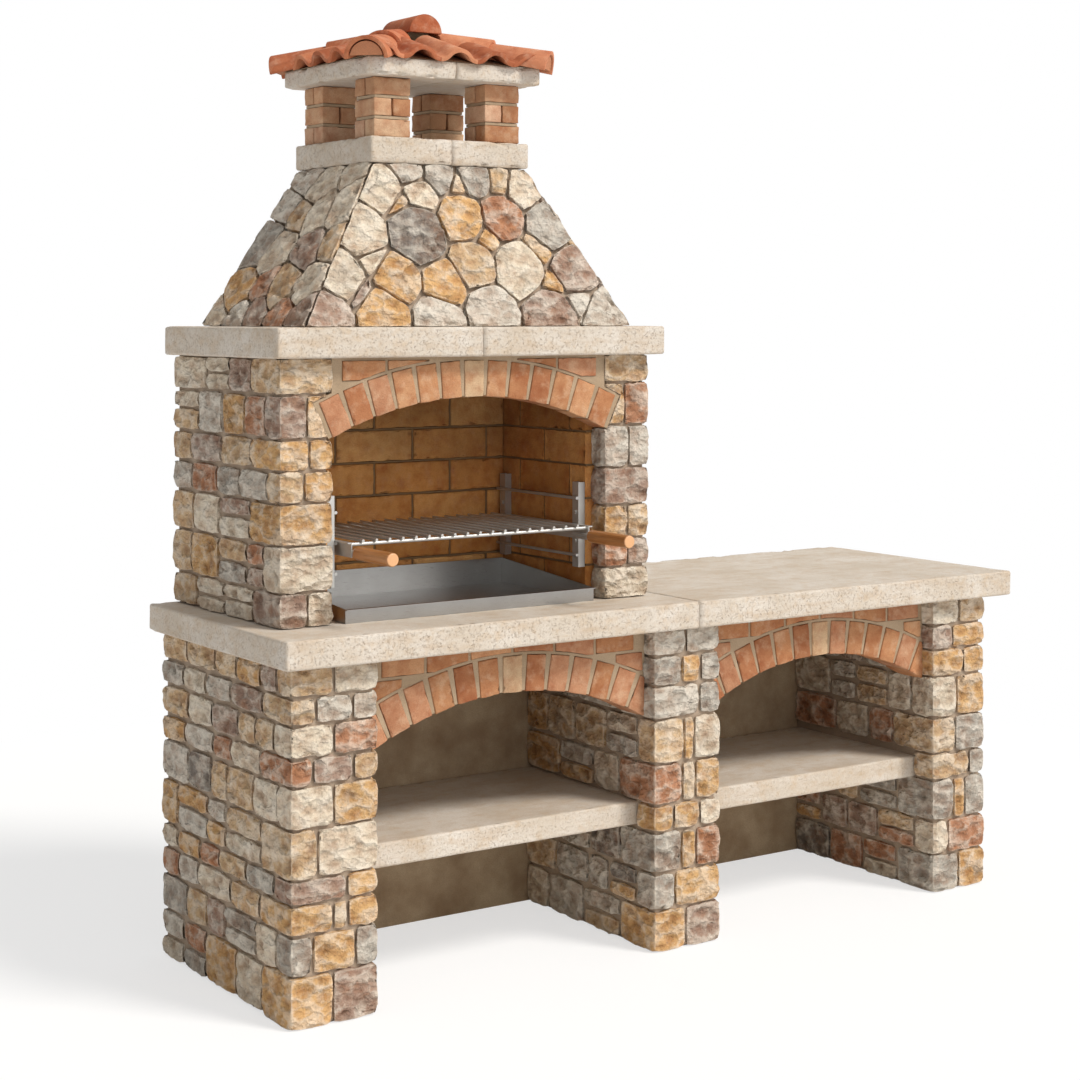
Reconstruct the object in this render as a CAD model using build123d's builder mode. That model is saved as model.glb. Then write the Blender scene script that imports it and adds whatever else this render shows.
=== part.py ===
"""Masonry barbecue: two arched bays under a worktop, with a firebox, hood and chimney on its left."""

import math
import os
import random

from build123d import *

os.makedirs("parts", exist_ok=True)

# Sizes are in millimetres. The origin is on the floor under the middle of the worktop, the front faces -Y.

# Piers and bays, from left to right
left_pier_width = 225
left_bay_width = 815
middle_pier_width = 213
right_bay_width = 776
right_pier_width = 201
base_depth = 715
bay_depth = 589
counter_height = 900

# Cast-stone worktop and shelves
worktop_thickness = 69
overhang_left = 38
overhang_right = 62
overhang_front = 50
slab_joint = 2
slab_edge = 7
shelf_height = 375
shelf_thickness = 60
shelf_setback = 80
shelf_bearing = 25
shelf_clearance = 1

# Facing stones, and the joints between them
stone_thickness = 16
stone_joint = 7
stone_skew = 4
floor_gap = 2
quoin_long = 150
quoin_short = 78
side_stone_length = 135
least_stone = 14

# Brick arches: a ring of voussoirs about a keystone, with bricks over it
ring_side_bricks = 6
ring_height = 92
ring_brick = 57
mortar_recess = 4
spandrel_brick_length = 118
spandrel_brick_height = 48
spandrel_joint = 7
least_brick_area = 1100
bay_spring_height = 600
bay_arch_rise = 104
bay_arch_setback = 40
bay_arch_depth = 100

# Firebox on the worktop
firebox_inset = 31
firebox_setback = 166
firebox_height = 634
opening_width = 799
pillar_width = 138
reveal_depth = 62
back_wall_thickness = 114
fire_spring_height = 442
fire_arch_rise = 91
skewback_clearance = 0.3

# Firebrick lining
lining_thickness = 36
firebrick_length = 230
firebrick_height = 82
firebrick_joint = 5
lining_recess = 3

# Mantle slabs over the firebox
mantle_thickness = 74
mantle_overhang_side = 27
mantle_overhang_front = 40
throat_margin = 12

# Hood
hood_base_width = 961
hood_base_depth = 575
hood_top_width = 458
hood_top_depth = 395
hood_height = 406
hood_setback = 30
hood_front_run = 122
hood_panel_thickness = 50
hood_stone_gap = 1

# Chimney: collar, brick pillars and cap slab
collar_width = 467
collar_depth = 405
collar_thickness = 65
flue_width = 250
flue_depth = 200
pillar_brick_width = 106
pillar_brick_depth = 100
pillar_brick_height = 45
pillar_joint = 7
pillar_inset = 18
pillar_courses = 3
joint_recess = 4
cap_width = 510
cap_depth = 449
cap_thickness = 45

# Clay roof
roof_pitch = 17
eave_overhang = 14
tile_thickness = 10
wave_height = 26
tile_width = 104
tile_gap = 0.6
least_tile = 8000
bed_clearance = 0.3
bed_top = 30
hip_radius = 56
hip_thickness = 10
hip_lap = 30
hip_mortar_length = 56
hip_mortar_inset = 4
tile_seat = 0.3
ridge_radius = 48
ridge_thickness = 10
ridge_length = 150
ridge_rise = 138
ridge_mortar_gap = 4

# Fire tray
tray_clearance = 16
tray_back_clearance = 15
tray_front_height = 34
tray_back_height = 70
tray_wall = 2
tray_hem = 9
tray_front_setback = 2

# Grill rack: channel uprights on the lining, with three pairs of support rods
upright_width = 27
upright_depth = 20
upright_wall = 2.5
upright_low = 80
upright_high = 301
rack_front_setback = 2
rack_back_setback = 10
rod_diameter = 8
rod_gap = 0.1
rod_levels = (112, 186, 260)
grill_pair = 1
rod_tail = 6
anchor_diameter = 6
anchor_depth = 24
anchor_head = 11
anchor_head_height = 4
anchor_clearance = 0.3

# Grill
rail_height = 36
rail_wall = 3
rail_side_clearance = 1.2
rail_rod_clearance = 2.5
running_clearance = 0.3
grill_back_setback = 35
cross_rod_diameter = 9
cross_rod_drop = 6
cross_rod_inset = 14
bar_diameter = 7
bar_pitch = 37
bar_overhang = 12
weld_gap = 0.1
handle_rod_diameter = 10
handle_rod_lap = 60
handle_drop = 24
handle_collar_diameter = 24
handle_collar_length = 8
grip_diameter = 33
grip_length = 165
grip_wall_end = 15
grip_setback = 20
grip_clearance = 0.15

# Levels and edges that follow from the sizes above
base_length = left_pier_width + left_bay_width + middle_pier_width + right_bay_width + right_pier_width
worktop_length = base_length + overhang_left + overhang_right
worktop_depth = base_depth + overhang_front
worktop_left = -worktop_length / 2
worktop_front = -worktop_depth / 2
base_back = worktop_depth / 2
pier_front = worktop_front + overhang_front
pier_height = counter_height - worktop_thickness
left_pier = (worktop_left + overhang_left, worktop_left + overhang_left + left_pier_width)
left_bay = (left_pier[1], left_pier[1] + left_bay_width)
middle_pier = (left_bay[1], left_bay[1] + middle_pier_width)
right_bay = (middle_pier[1], middle_pier[1] + right_bay_width)
right_pier = (right_bay[1], right_bay[1] + right_pier_width)
bay_back = pier_front + bay_depth

firebox_left = left_pier[0] + firebox_inset
opening_left = firebox_left + pillar_width
opening_right = opening_left + opening_width
firebox_right = opening_right + pillar_width
fire_x = (opening_left + opening_right) / 2
firebox_front = worktop_front + firebox_setback
firebox_top = counter_height + firebox_height
lining_proud = lining_thickness - stone_thickness
chamber_width = opening_width - 2 * lining_proud
lining_front = firebox_front + reveal_depth
lining_back = base_back - back_wall_thickness - lining_thickness

mantle_top = firebox_top + mantle_thickness
mantle_front = firebox_front - mantle_overhang_front
hood_front = mantle_front + hood_setback
hood_back = hood_front + hood_base_depth
hood_top = mantle_top + hood_height
hood_back_run = hood_base_depth - hood_top_depth - hood_front_run
chimney_y = hood_front + hood_front_run + hood_top_depth / 2
collar_top = hood_top + collar_thickness
pillar_height = pillar_courses * pillar_brick_height + (pillar_courses - 1) * pillar_joint
cap_bottom = collar_top + pillar_height
cap_top = cap_bottom + cap_thickness


def finish(builder, name):
    """Labels a finished piece and writes its STEP file."""
    builder.part.label = name
    export_step(builder.part, f"parts/{name}.step")


def box_between(low, high, mode=Mode.ADD):
    """A box from its lowest to its highest corner, added to or cut from the part that is open."""
    size = [high[i] - low[i] for i in range(3)]
    with Locations(tuple(low)):
        Box(*size, align=(Align.MIN, Align.MIN, Align.MIN), mode=mode)


def shares_between(low, high, shares, joint):
    """Divides a length into stretches in proportion to the shares, with a joint between neighbours."""
    free = high - low - joint * (len(shares) - 1)
    stretches = []
    for share in shares:
        end = low + free * share / sum(shares)
        stretches.append((low, end))
        low = end + joint
    return stretches


def polygons(outlines):
    """Draws closed outlines as faces in the sketch that is open."""
    add([Polygon(*outline, align=None, mode=Mode.PRIVATE) for outline in outlines])


# Piers: a cast core, whose slots carry the shelves, faced with stone.
# Courses go from the floor up. Each has its height share and the width shares of its front stones.
left_pier_courses = [
    (125, (48, 52)),
    (93, (25, 50, 25)),
    (68, (50, 15, 35)),
    (56, (65, 35)),
    (117, (30, 70)),
    (99, (49, 51)),
    (62, (25, 47, 28)),
    (75, (49, 51)),
    (62, (29, 42, 29)),
    (72, (49, 51)),
]
middle_pier_courses = [
    (145, (48, 52)),
    (125, (31, 69)),
    (140, (43, 20, 37)),
    (90, (30, 39, 31)),
    (140, (44, 18, 38)),
    (155, (47, 13, 40)),
    (110, (70, 30)),
    (100, (44, 27, 29)),
    (95, (48, 52)),
]
right_pier_courses = [
    (130, (50, 50)),
    (115, (29, 71)),
    (140, (42, 20, 38)),
    (85, (72, 28)),
    (125, (44, 56)),
    (140, (47, 53)),
    (90, (60, 40)),
    (80, (38, 62)),
    (90, (52, 48)),
]


def corner_stone(left, right, front, left_leg, right_leg):
    """Plan of a front stone whose legs turn back along the sides. A leg as thick as the stone is none."""
    inner = front + stone_thickness
    points = [(left, front), (right, front), (right, front + right_leg)]
    if right_leg > stone_thickness:
        points += [(right - stone_thickness, front + right_leg), (right - stone_thickness, inner)]
    if left_leg > stone_thickness:
        points += [(left + stone_thickness, inner), (left + stone_thickness, front + left_leg)]
    return points + [(left, front + left_leg)]


def side_stones(start, end, low, high, chooser):
    """Outlines of the stones of one course on a side face, some two high, with their corners askew."""
    count = max(1, round((end - start) / side_stone_length))
    outlines = []
    lengths = [chooser.uniform(0.6, 1.4) for _ in range(count)]
    for near, far in shares_between(start, end, lengths, stone_joint):
        two_high = high - low > 5 * least_stone and chooser.random() < 0.4
        lifts = [chooser.uniform(0.7, 1.3), 1] if two_high else [1]
        for bottom, top in shares_between(low, high, lifts, stone_joint):
            skew = [chooser.uniform(0, stone_skew) for _ in range(8)]
            outlines.append([
                (near + skew[0], bottom + skew[1]),
                (far - skew[2], bottom + skew[3]),
                (far - skew[4], top - skew[5]),
                (near + skew[6], top - skew[7]),
            ])
    return outlines


def facing(sides, front, heights, courses, reaches, seed):
    """Facing of a pier: front stones that turn the corners, and side stones back to each side's reach."""
    left, right = sides
    chooser = random.Random(seed)
    side_outlines = ([], [])
    levels = shares_between(*heights, [course[0] for course in courses], stone_joint)
    with BuildPart() as stones:
        for number, (low, high) in enumerate(levels):
            legs = []
            for side, reach in enumerate(reaches):
                quoin = (quoin_long, quoin_short)[(number + side) % 2]
                leg = min(quoin + chooser.uniform(-12, 12), reach)
                if leg > reach - quoin_short:
                    leg = reach
                else:
                    run = (front + leg + stone_joint, front + reach)
                    side_outlines[side].extend(side_stones(*run, low, high, chooser))
                legs.append(leg)
            widths = shares_between(left, right, courses[number][1], stone_joint)
            with BuildSketch(Plane.XY.offset(low)):
                outlines = []
                for place, (start, end) in enumerate(widths):
                    left_leg = legs[0] if place == 0 else stone_thickness
                    right_leg = legs[1] if place == len(widths) - 1 else stone_thickness
                    outlines.append(corner_stone(start, end, front, left_leg, right_leg))
                polygons(outlines)
            extrude(amount=high - low)
        for face, outlines in zip((left, right - stone_thickness), side_outlines):
            if outlines:
                with BuildSketch(Plane.YZ.offset(face)):
                    polygons(outlines)
                extrude(amount=stone_thickness)
    return stones


def without_offcuts(stones):
    """Leaves out the thin offcuts that a cut has left of some stones."""
    least = min(least_stone, stone_thickness - skewback_clearance)
    solids = [stone for stone in stones.part.solids() if min(stone.bounding_box().size) > least]
    with BuildPart() as kept:
        add(solids)
    return kept


shelf_bottom = shelf_height - shelf_thickness
shelf_front = pier_front + shelf_setback
shelf_end = stone_thickness + shelf_bearing
for name, pier, courses, bays, seed in (
    ("left_pier", left_pier, left_pier_courses, (None, left_bay), 11),
    ("middle_pier", middle_pier, middle_pier_courses, (left_bay, right_bay), 12),
    ("right_pier", right_pier, right_pier_courses, (right_bay, None), 13),
):
    slots = []
    for bay in bays:
        if bay:
            low = (bay[0] - shelf_end - shelf_clearance, shelf_front - shelf_clearance, shelf_bottom)
            high = (bay[1] + shelf_end + shelf_clearance, bay_back, shelf_height + shelf_clearance)
            slots.append((low, high))
    with BuildPart() as core:
        box_between(
            (pier[0] + stone_thickness, pier_front + stone_thickness, 0),
            (pier[1] - stone_thickness, base_back, pier_height),
        )
        for slot in slots:
            box_between(*slot, mode=Mode.SUBTRACT)
    finish(core, f"{name}_core")
    reaches = [bay_depth if bay else base_depth for bay in bays]
    laid = facing(pier, pier_front, (floor_gap, pier_height - floor_gap), courses, reaches, seed)
    with BuildPart() as stones:
        add(laid.part)
        for slot in slots:
            box_between(*slot, mode=Mode.SUBTRACT)
    finish(without_offcuts(stones), f"{name}_stones")

# Back walls of the bays, between the piers' cores, and the shelves in their slots
for name, bay in (("left", left_bay), ("right", right_bay)):
    with BuildPart() as back_wall:
        box_between(
            (bay[0] - stone_thickness, bay_back, 0),
            (bay[1] + stone_thickness, base_back, pier_height),
        )
    finish(back_wall, f"{name}_bay_back")
    with BuildPart() as shelf:
        box_between(
            (bay[0] - shelf_end, shelf_front, shelf_bottom),
            (bay[1] + shelf_end, bay_back, shelf_height),
        )
        fillet(shelf.edges().filter_by(Axis.X).group_by(Axis.Y)[0], slab_edge)
    finish(shelf, f"{name}_shelf")

# Worktop: two slabs that meet over the middle pier
worktop_joint = (middle_pier[0] + middle_pier[1]) / 2
for name, start, end, outer in (
    ("left", worktop_left, worktop_joint - slab_joint / 2, 0),
    ("right", worktop_joint + slab_joint / 2, -worktop_left, -1),
):
    with BuildPart() as slab:
        box_between((start, worktop_front, pier_height), (end, base_back, counter_height))
        corner = slab.edges().filter_by(Axis.Z).group_by(Axis.Y)[0].sort_by(Axis.X)[outer]
        fillet(corner, slab_edge)
        front_edges = slab.faces().filter_by(Axis.Z).edges().filter_by(Axis.X).group_by(Axis.Y)[0]
        fillet(front_edges, slab_edge)
    finish(slab, f"worktop_{name}")


# Brick arches. A ring of bricks turns about its centre, the keystone stands at its crown, courses of brick
# fill the corners over it, and a mortar panel holds them all.
def arch_radius(span, rise):
    """Radius of the arch's underside."""
    return (span * span / 4 + rise * rise) / (2 * rise)


def sector(inner, outer, half_angle):
    """A stretch of a ring about the sketch's centre, even to both sides of straight up, drawn by itself."""
    reach = 3 * outer
    with BuildSketch() as drawn:
        Circle(outer)
        Circle(inner, mode=Mode.SUBTRACT)
        side = reach * math.sin(half_angle)
        rise = reach * math.cos(half_angle)
        Polygon((0, 0), (side, rise), (-side, rise), align=None, mode=Mode.INTERSECT)
    return drawn.sketch


def arch(name, span, rise, spring, top, front, depth, middle, joined):
    """Bricks, keystone, spandrel and mortar of an arch. A joined arch has its ends let into its pillars."""
    radius = arch_radius(span, rise)
    half_angle = math.asin(span / 2 / radius)
    step = 2 * math.degrees(half_angle) / (2 * ring_side_bricks + 1)
    ring_middle = radius + ring_height / 2
    centre = spring + rise - radius
    plane = Plane(origin=(middle, front, centre), x_dir=(1, 0, 0), z_dir=(0, -1, 0))
    low, high = spring - centre, top - centre

    with BuildSketch() as keystone_face:
        with Locations((0, ring_middle)):
            Rectangle(ring_brick, ring_height)
    with BuildSketch() as ring:
        for first in (90 + step, 90 - step * ring_side_bricks):
            sweep_angle = step * (ring_side_bricks - 1)
            with PolarLocations(ring_middle, ring_side_bricks, first, sweep_angle, endpoint=True):
                Rectangle(ring_height, ring_brick)
        if not joined:
            with Locations((0, high / 2)):
                Rectangle(span, high, mode=Mode.INTERSECT)

    pitch = spandrel_brick_length + spandrel_joint
    lift = spandrel_brick_height + spandrel_joint
    rows = math.ceil((high - low) / lift)
    with BuildSketch() as courses:
        for row in range(rows):
            count = math.ceil(span / pitch) + 1
            shift = pitch / 2 if row % 2 else 0
            bottom = high - spandrel_joint - row * lift - spandrel_brick_height
            with Locations((shift, bottom + spandrel_brick_height / 2)):
                with GridLocations(pitch, lift, count, 1):
                    Rectangle(spandrel_brick_length, spandrel_brick_height)
        Circle(radius + ring_height + spandrel_joint, mode=Mode.SUBTRACT)
        with Locations((0, high / 2)):
            Rectangle(span - 2 * spandrel_joint, high, mode=Mode.INTERSECT)
    with BuildSketch() as spandrel:
        add([face for face in courses.faces() if face.area > least_brick_area])

    with BuildSketch() as panel:
        with Locations((0, (low + high) / 2)):
            Rectangle(span, high - low)
        if joined:
            add(sector(radius, radius + ring_height + spandrel_joint, half_angle + spandrel_joint / radius))
        Circle(radius + mortar_recess, mode=Mode.SUBTRACT)
        add([ring.sketch, keystone_face.sketch, spandrel.sketch], mode=Mode.SUBTRACT)

    for piece, drawn, recess in (
        ("arch_bricks", ring, 0),
        ("arch_keystone", keystone_face, 0),
        ("arch_spandrel", spandrel, 0),
        ("arch_mortar", panel, mortar_recess),
    ):
        with BuildPart() as solid:
            with BuildSketch(plane.offset(-recess)):
                add(drawn.sketch)
            extrude(amount=recess - depth)
        finish(solid, f"{name}_{piece}")


for name, bay in (("left", left_bay), ("right", right_bay)):
    arch(
        name,
        span=bay[1] - bay[0],
        rise=bay_arch_rise,
        spring=bay_spring_height,
        top=pier_height,
        front=pier_front + bay_arch_setback,
        depth=bay_arch_depth,
        middle=(bay[0] + bay[1]) / 2,
        joined=False,
    )

# Firebox: side walls whose fronts are the stone pillars, a back wall, and the arch let into the pillars
left_pillar_courses = [
    (80, (52, 48)),
    (107, (1,)),
    (97, (1,)),
    (71, (46, 54)),
    (71, (56, 44)),
    (102, (51, 49)),
    (83, (1,)),
]
right_pillar_courses = [
    (85, (1,)),
    (75, (52, 48)),
    (90, (52, 48)),
    (100, (1,)),
    (115, (55, 45)),
    (115, (45, 55)),
    (75, (1,)),
]
arch_spring = counter_height + fire_spring_height
fire_radius = arch_radius(opening_width, fire_arch_rise)
fire_angle = math.asin(opening_width / 2 / fire_radius) + spandrel_joint / fire_radius
fire_plane = Plane(
    origin=(fire_x, firebox_front, arch_spring + fire_arch_rise - fire_radius),
    x_dir=(1, 0, 0),
    z_dir=(0, -1, 0),
)
skewback_outer = fire_radius + ring_height + spandrel_joint + skewback_clearance
skewback_seat = sector(
    fire_radius - skewback_clearance,
    skewback_outer,
    fire_angle + skewback_clearance / fire_radius,
)
with BuildPart() as skewback:
    with BuildSketch(fire_plane):
        add(skewback_seat)
    extrude(amount=-reveal_depth)
firebox_depth = base_back - firebox_front
for name, pillar, courses, reaches, seed in (
    ("left", (firebox_left, opening_left), left_pillar_courses, (firebox_depth, reveal_depth), 21),
    ("right", (opening_right, firebox_right), right_pillar_courses, (reveal_depth, firebox_depth), 22),
):
    with BuildPart() as wall:
        box_between(
            (pillar[0] + stone_thickness, firebox_front + stone_thickness, counter_height),
            (pillar[1] - stone_thickness, base_back, firebox_top),
        )
        add(skewback.part, mode=Mode.SUBTRACT)
    finish(wall, f"firebox_{name}_wall")
    heights = (counter_height + floor_gap, firebox_top - floor_gap)
    laid = facing(pillar, firebox_front, heights, courses, reaches, seed)
    with BuildPart() as stones:
        add(laid.part)
        add(skewback.part, mode=Mode.SUBTRACT)
    finish(without_offcuts(stones), f"firebox_{name}_stones")

with BuildPart() as firebox_back_wall:
    box_between(
        (opening_left - stone_thickness, base_back - back_wall_thickness, counter_height),
        (opening_right + stone_thickness, base_back, firebox_top),
    )
finish(firebox_back_wall, "firebox_back_wall")
arch(
    "fire",
    span=opening_width,
    rise=fire_arch_rise,
    spring=arch_spring,
    top=firebox_top,
    front=firebox_front,
    depth=reveal_depth,
    middle=fire_x,
    joined=True,
)


# Firebrick lining: bricks in half bond on mortar, bored for the anchors of the grill rack
def brickwork(length, height):
    """Outlines of firebricks in half bond that fill a wall from its lower left corner."""
    outlines = []
    lift = firebrick_height + firebrick_joint
    pitch = firebrick_length + firebrick_joint
    for row in range(math.ceil(height / lift)):
        low = row * lift
        high = min(low + firebrick_height, height)
        start = -pitch / 2 if row % 2 else 0
        while start < length:
            left, right = max(start, 0), min(start + firebrick_length, length)
            if right - left > least_stone and high - low > least_stone:
                outlines.append([(left, low), (right, low), (right, high), (left, high)])
            start += pitch
    return outlines


chamber_left = fire_x - chamber_width / 2
chamber_right = fire_x + chamber_width / 2
upright_fronts = (lining_front + rack_front_setback, lining_back - rack_back_setback - upright_width)
anchor_levels = [counter_height + (low + high) / 2 for low, high in zip(rod_levels, rod_levels[1:])]
anchor_places = [(start + upright_width / 2, level) for start in upright_fronts for level in anchor_levels]
side_length = base_back - back_wall_thickness - lining_front
lining_planes = {
    "left": Plane(origin=(chamber_left, lining_front, counter_height), x_dir=(0, 1, 0), z_dir=(1, 0, 0)),
    "right": Plane(
        origin=(chamber_right, lining_front + side_length, counter_height), x_dir=(0, -1, 0), z_dir=(-1, 0, 0)
    ),
    "back": Plane(origin=(chamber_left, lining_back, counter_height), x_dir=(1, 0, 0), z_dir=(0, -1, 0)),
}
lining_lengths = {"left": side_length, "right": side_length, "back": chamber_width}
mortar_grids = []
for name, plane in lining_planes.items():
    length = lining_lengths[name]
    bricks = brickwork(length, firebox_height)
    with BuildPart() as lining:
        with BuildSketch(plane):
            polygons(bricks)
        extrude(amount=-lining_thickness)
        if name != "back":
            side = chamber_left if name == "left" else chamber_right
            with BuildSketch(Plane.YZ.offset(side)):
                with Locations(*anchor_places):
                    Circle(anchor_diameter / 2 + anchor_clearance)
            extrude(amount=anchor_depth + anchor_clearance, both=True, mode=Mode.SUBTRACT)
    finish(lining, f"lining_{name}")
    with BuildPart() as grid:
        with BuildSketch(plane.offset(-lining_recess)):
            with Locations((length / 2, firebox_height / 2)):
                Rectangle(length, firebox_height)
            add([Polygon(*brick, align=None, mode=Mode.PRIVATE) for brick in bricks], mode=Mode.SUBTRACT)
        extrude(amount=lining_recess - lining_thickness)
        if name != "back":
            with BuildSketch(Plane.YZ.offset(side)):
                with Locations(*anchor_places):
                    Circle(anchor_diameter / 2 + anchor_clearance)
            extrude(amount=anchor_depth + anchor_clearance, both=True, mode=Mode.SUBTRACT)
    mortar_grids.append(grid.part)
with BuildPart() as lining_mortar:
    add(mortar_grids)
finish(lining_mortar, "lining_mortar")

# Mantle: two slabs that meet at the middle and leave the throat of the hood open between them
throat_side = chamber_width / 2 - throat_margin
throat_front = lining_front + throat_margin
throat_back = lining_back - throat_margin
with BuildPart() as mantle_slabs:
    box_between(
        (firebox_left - mantle_overhang_side, mantle_front, firebox_top),
        (firebox_right + mantle_overhang_side, base_back, mantle_top),
    )
    fillet(mantle_slabs.edges().filter_by(Axis.Z).group_by(Axis.Y)[0], slab_edge)
    fillet(mantle_slabs.faces().sort_by(Axis.Z)[-1].edges().filter_by(Axis.X).sort_by(Axis.Y)[0], slab_edge)
    fillet(mantle_slabs.faces().sort_by(Axis.Z)[0].edges().filter_by(Axis.X).sort_by(Axis.Y)[0], slab_edge)
    box_between(
        (fire_x - throat_side, throat_front, firebox_top),
        (fire_x + throat_side, throat_back, mantle_top),
        mode=Mode.SUBTRACT,
    )
    box_between(
        (fire_x - slab_joint / 2, mantle_front, firebox_top),
        (fire_x + slab_joint / 2, base_back, mantle_top),
        mode=Mode.SUBTRACT,
    )
finish(mantle_slabs, "mantle_slabs")

# Hood: four mitred panels, faced with paving stones that are mitred at the hips too
hood_side_slope = (hood_base_width - hood_top_width) / 2 / hood_height
hood_front_slope = hood_front_run / hood_height
hood_back_slope = hood_back_run / hood_height


def hood_corner(side_x, side_y, height, inset):
    """A corner of the hood at a height over the mantle, with its faces moved in by an inset."""
    half = hood_base_width / 2 - hood_side_slope * height - inset * math.hypot(1, hood_side_slope)
    if side_y < 0:
        depth = hood_front + hood_front_slope * height + inset * math.hypot(1, hood_front_slope)
    else:
        depth = hood_back - hood_back_slope * height - inset * math.hypot(1, hood_back_slope)
    return Vector(fire_x + side_x * half, depth, mantle_top + height)


# The two corners of each face, from its left to its right as seen from outside
hood_faces = {
    "front": ((-1, -1), (1, -1)),
    "right": ((1, -1), (1, 1)),
    "back": ((1, 1), (-1, 1)),
    "left": ((-1, 1), (-1, -1)),
}


def hood_plane(face, inset):
    """Plane of one face, with its origin at the lower left corner as seen from outside and Y up the slope."""
    left, right = hood_faces[face]
    low_left, low_right = hood_corner(*left, 0, inset), hood_corner(*right, 0, inset)
    along = (low_right - low_left).normalized()
    up = hood_corner(*left, hood_height, inset) - low_left
    return Plane(origin=low_left, x_dir=along, z_dir=along.cross(up).normalized())


def hood_cuts(face, gap):
    """The mitre planes at both hips and the level planes at bottom and top, that face the stretch kept."""
    corners = [hood_corner(*corner, 0, 0) for corner in hood_faces[face]]
    inside = (corners[0] + corners[1]) * 0.5
    cuts = []
    for corner in hood_faces[face]:
        low = hood_corner(*corner, 0, 0)
        hip = hood_corner(*corner, hood_height, 0) - low
        normal = hip.cross(hood_corner(*corner, 0, hood_panel_thickness) - low).normalized()
        if normal.dot(inside - low) < 0:
            normal = -normal
        cuts.append(Plane(origin=low + normal * gap, x_dir=hip.normalized(), z_dir=normal))
    level_gap = min(gap, hood_stone_gap)
    cuts.append(Plane(origin=(0, 0, mantle_top + level_gap), z_dir=(0, 0, 1)))
    cuts.append(Plane(origin=(0, 0, hood_top - level_gap), z_dir=(0, 0, -1)))
    return cuts


def hood_layer(face, outlines, inset, thickness, gap):
    """Slabs of one face, drawn on its plane at an inset, taken in by thickness and cut to the mitres."""
    with BuildPart() as layer:
        with BuildSketch(hood_plane(face, inset)):
            polygons(outlines)
        extrude(amount=-thickness)
        for cut in hood_cuts(face, gap):
            split(bisect_by=cut, keep=Keep.TOP)
    return layer


def face_outline(face, inset, margin):
    """Corners of one face on its plane, from the lower left round, with a margin at its foot and head."""
    plane = hood_plane(face, inset)
    left, right = hood_faces[face]
    places = ((left, -margin), (right, -margin), (right, hood_height + margin), (left, hood_height + margin))
    found = [plane.to_local_coords(hood_corner(*corner, height, inset)) for corner, height in places]
    return [(point.X, point.Y) for point in found]


def clipped(outline, point, normal):
    """The stretch of a convex outline that lies behind a line."""
    kept = []
    depths = [(x - point[0]) * normal[0] + (y - point[1]) * normal[1] for x, y in outline]
    for number, (x, y) in enumerate(outline):
        depth, next_depth = depths[number], depths[(number + 1) % len(outline)]
        if depth <= 0:
            kept.append((x, y))
        if depth * next_depth < 0:
            share = depth / (depth - next_depth)
            next_x, next_y = outline[(number + 1) % len(outline)]
            kept.append((x + share * (next_x - x), y + share * (next_y - y)))
    return kept


def paving(outline, seeds):
    """Paving stones about seeds, given as shares across and up the outline with the reach of each stone."""
    low_left, low_right, high_right, high_left = outline
    places = []
    for across, up, reach in seeds:
        start = [low_left[i] + up * (high_left[i] - low_left[i]) for i in range(2)]
        end = [low_right[i] + up * (high_right[i] - low_right[i]) for i in range(2)]
        place_x = start[0] + across * (end[0] - start[0])
        place_y = start[1] + across * (end[1] - start[1])
        places.append((place_x, place_y, reach))
    stones = []
    for x, y, reach in places:
        stone = outline
        for other_x, other_y, other_reach in places:
            gap_x, gap_y = other_x - x, other_y - y
            distance = math.hypot(gap_x, gap_y)
            if distance > 0:
                normal = (gap_x / distance, gap_y / distance)
                edge = distance / 2 + (reach**2 - other_reach**2) / (2 * distance) - stone_joint / 2
                stone = clipped(stone, (x + normal[0] * edge, y + normal[1] * edge), normal)
        if len(stone) > 2:
            stones.append(stone)
    return stones


def scattered_seeds(rows, seed):
    """Seeds of a face that is laid without a pattern, in uneven rows."""
    chooser = random.Random(seed)
    seeds = []
    for row, count in enumerate(rows):
        for place in range(count):
            across = (place + 0.5 + chooser.uniform(-0.22, 0.22)) / count
            up = (row + 0.5 + chooser.uniform(-0.25, 0.25)) / len(rows)
            seeds.append((across, up, chooser.uniform(25, 60)))
    return seeds


hood_seeds = {
    "front": [
        (0.05, 0.11, 60), (0.22, 0.11, 62), (0.39, 0.08, 60), (0.56, 0.12, 62), (0.75, 0.11, 66),
        (0.94, 0.10, 60), (0.14, 0.22, 18), (0.88, 0.21, 22), (0.81, 0.28, 20), (0.05, 0.32, 58),
        (0.25, 0.31, 56), (0.41, 0.28, 52), (0.53, 0.40, 56), (0.70, 0.37, 66), (0.92, 0.37, 62),
        (0.15, 0.42, 20), (0.08, 0.56, 56), (0.31, 0.56, 72), (0.52, 0.66, 58), (0.71, 0.67, 54),
        (0.92, 0.62, 58), (0.83, 0.51, 22), (0.61, 0.55, 18), (0.21, 0.74, 18), (0.11, 0.82, 50),
        (0.31, 0.80, 38), (0.24, 0.94, 42), (0.42, 0.92, 44), (0.53, 0.87, 18), (0.64, 0.91, 46),
        (0.79, 0.90, 34), (0.90, 0.86, 44),
    ],
    "left": scattered_seeds((5, 4, 4, 4, 3), 31),
    "right": scattered_seeds((5, 4, 4, 4, 3), 32),
    "back": scattered_seeds((7, 6, 6, 5, 4), 33),
}
for face in hood_faces:
    panel_outline = face_outline(face, stone_thickness, hood_panel_thickness)
    panel = hood_layer(face, [panel_outline], stone_thickness, hood_panel_thickness, 0)
    finish(panel, f"hood_{face}_panel")
    outlines = paving(face_outline(face, 0, stone_thickness), hood_seeds[face])
    stones = hood_layer(face, outlines, 0, stone_thickness, stone_joint / 2)
    finish(without_offcuts(stones), f"hood_{face}_stones")

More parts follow.
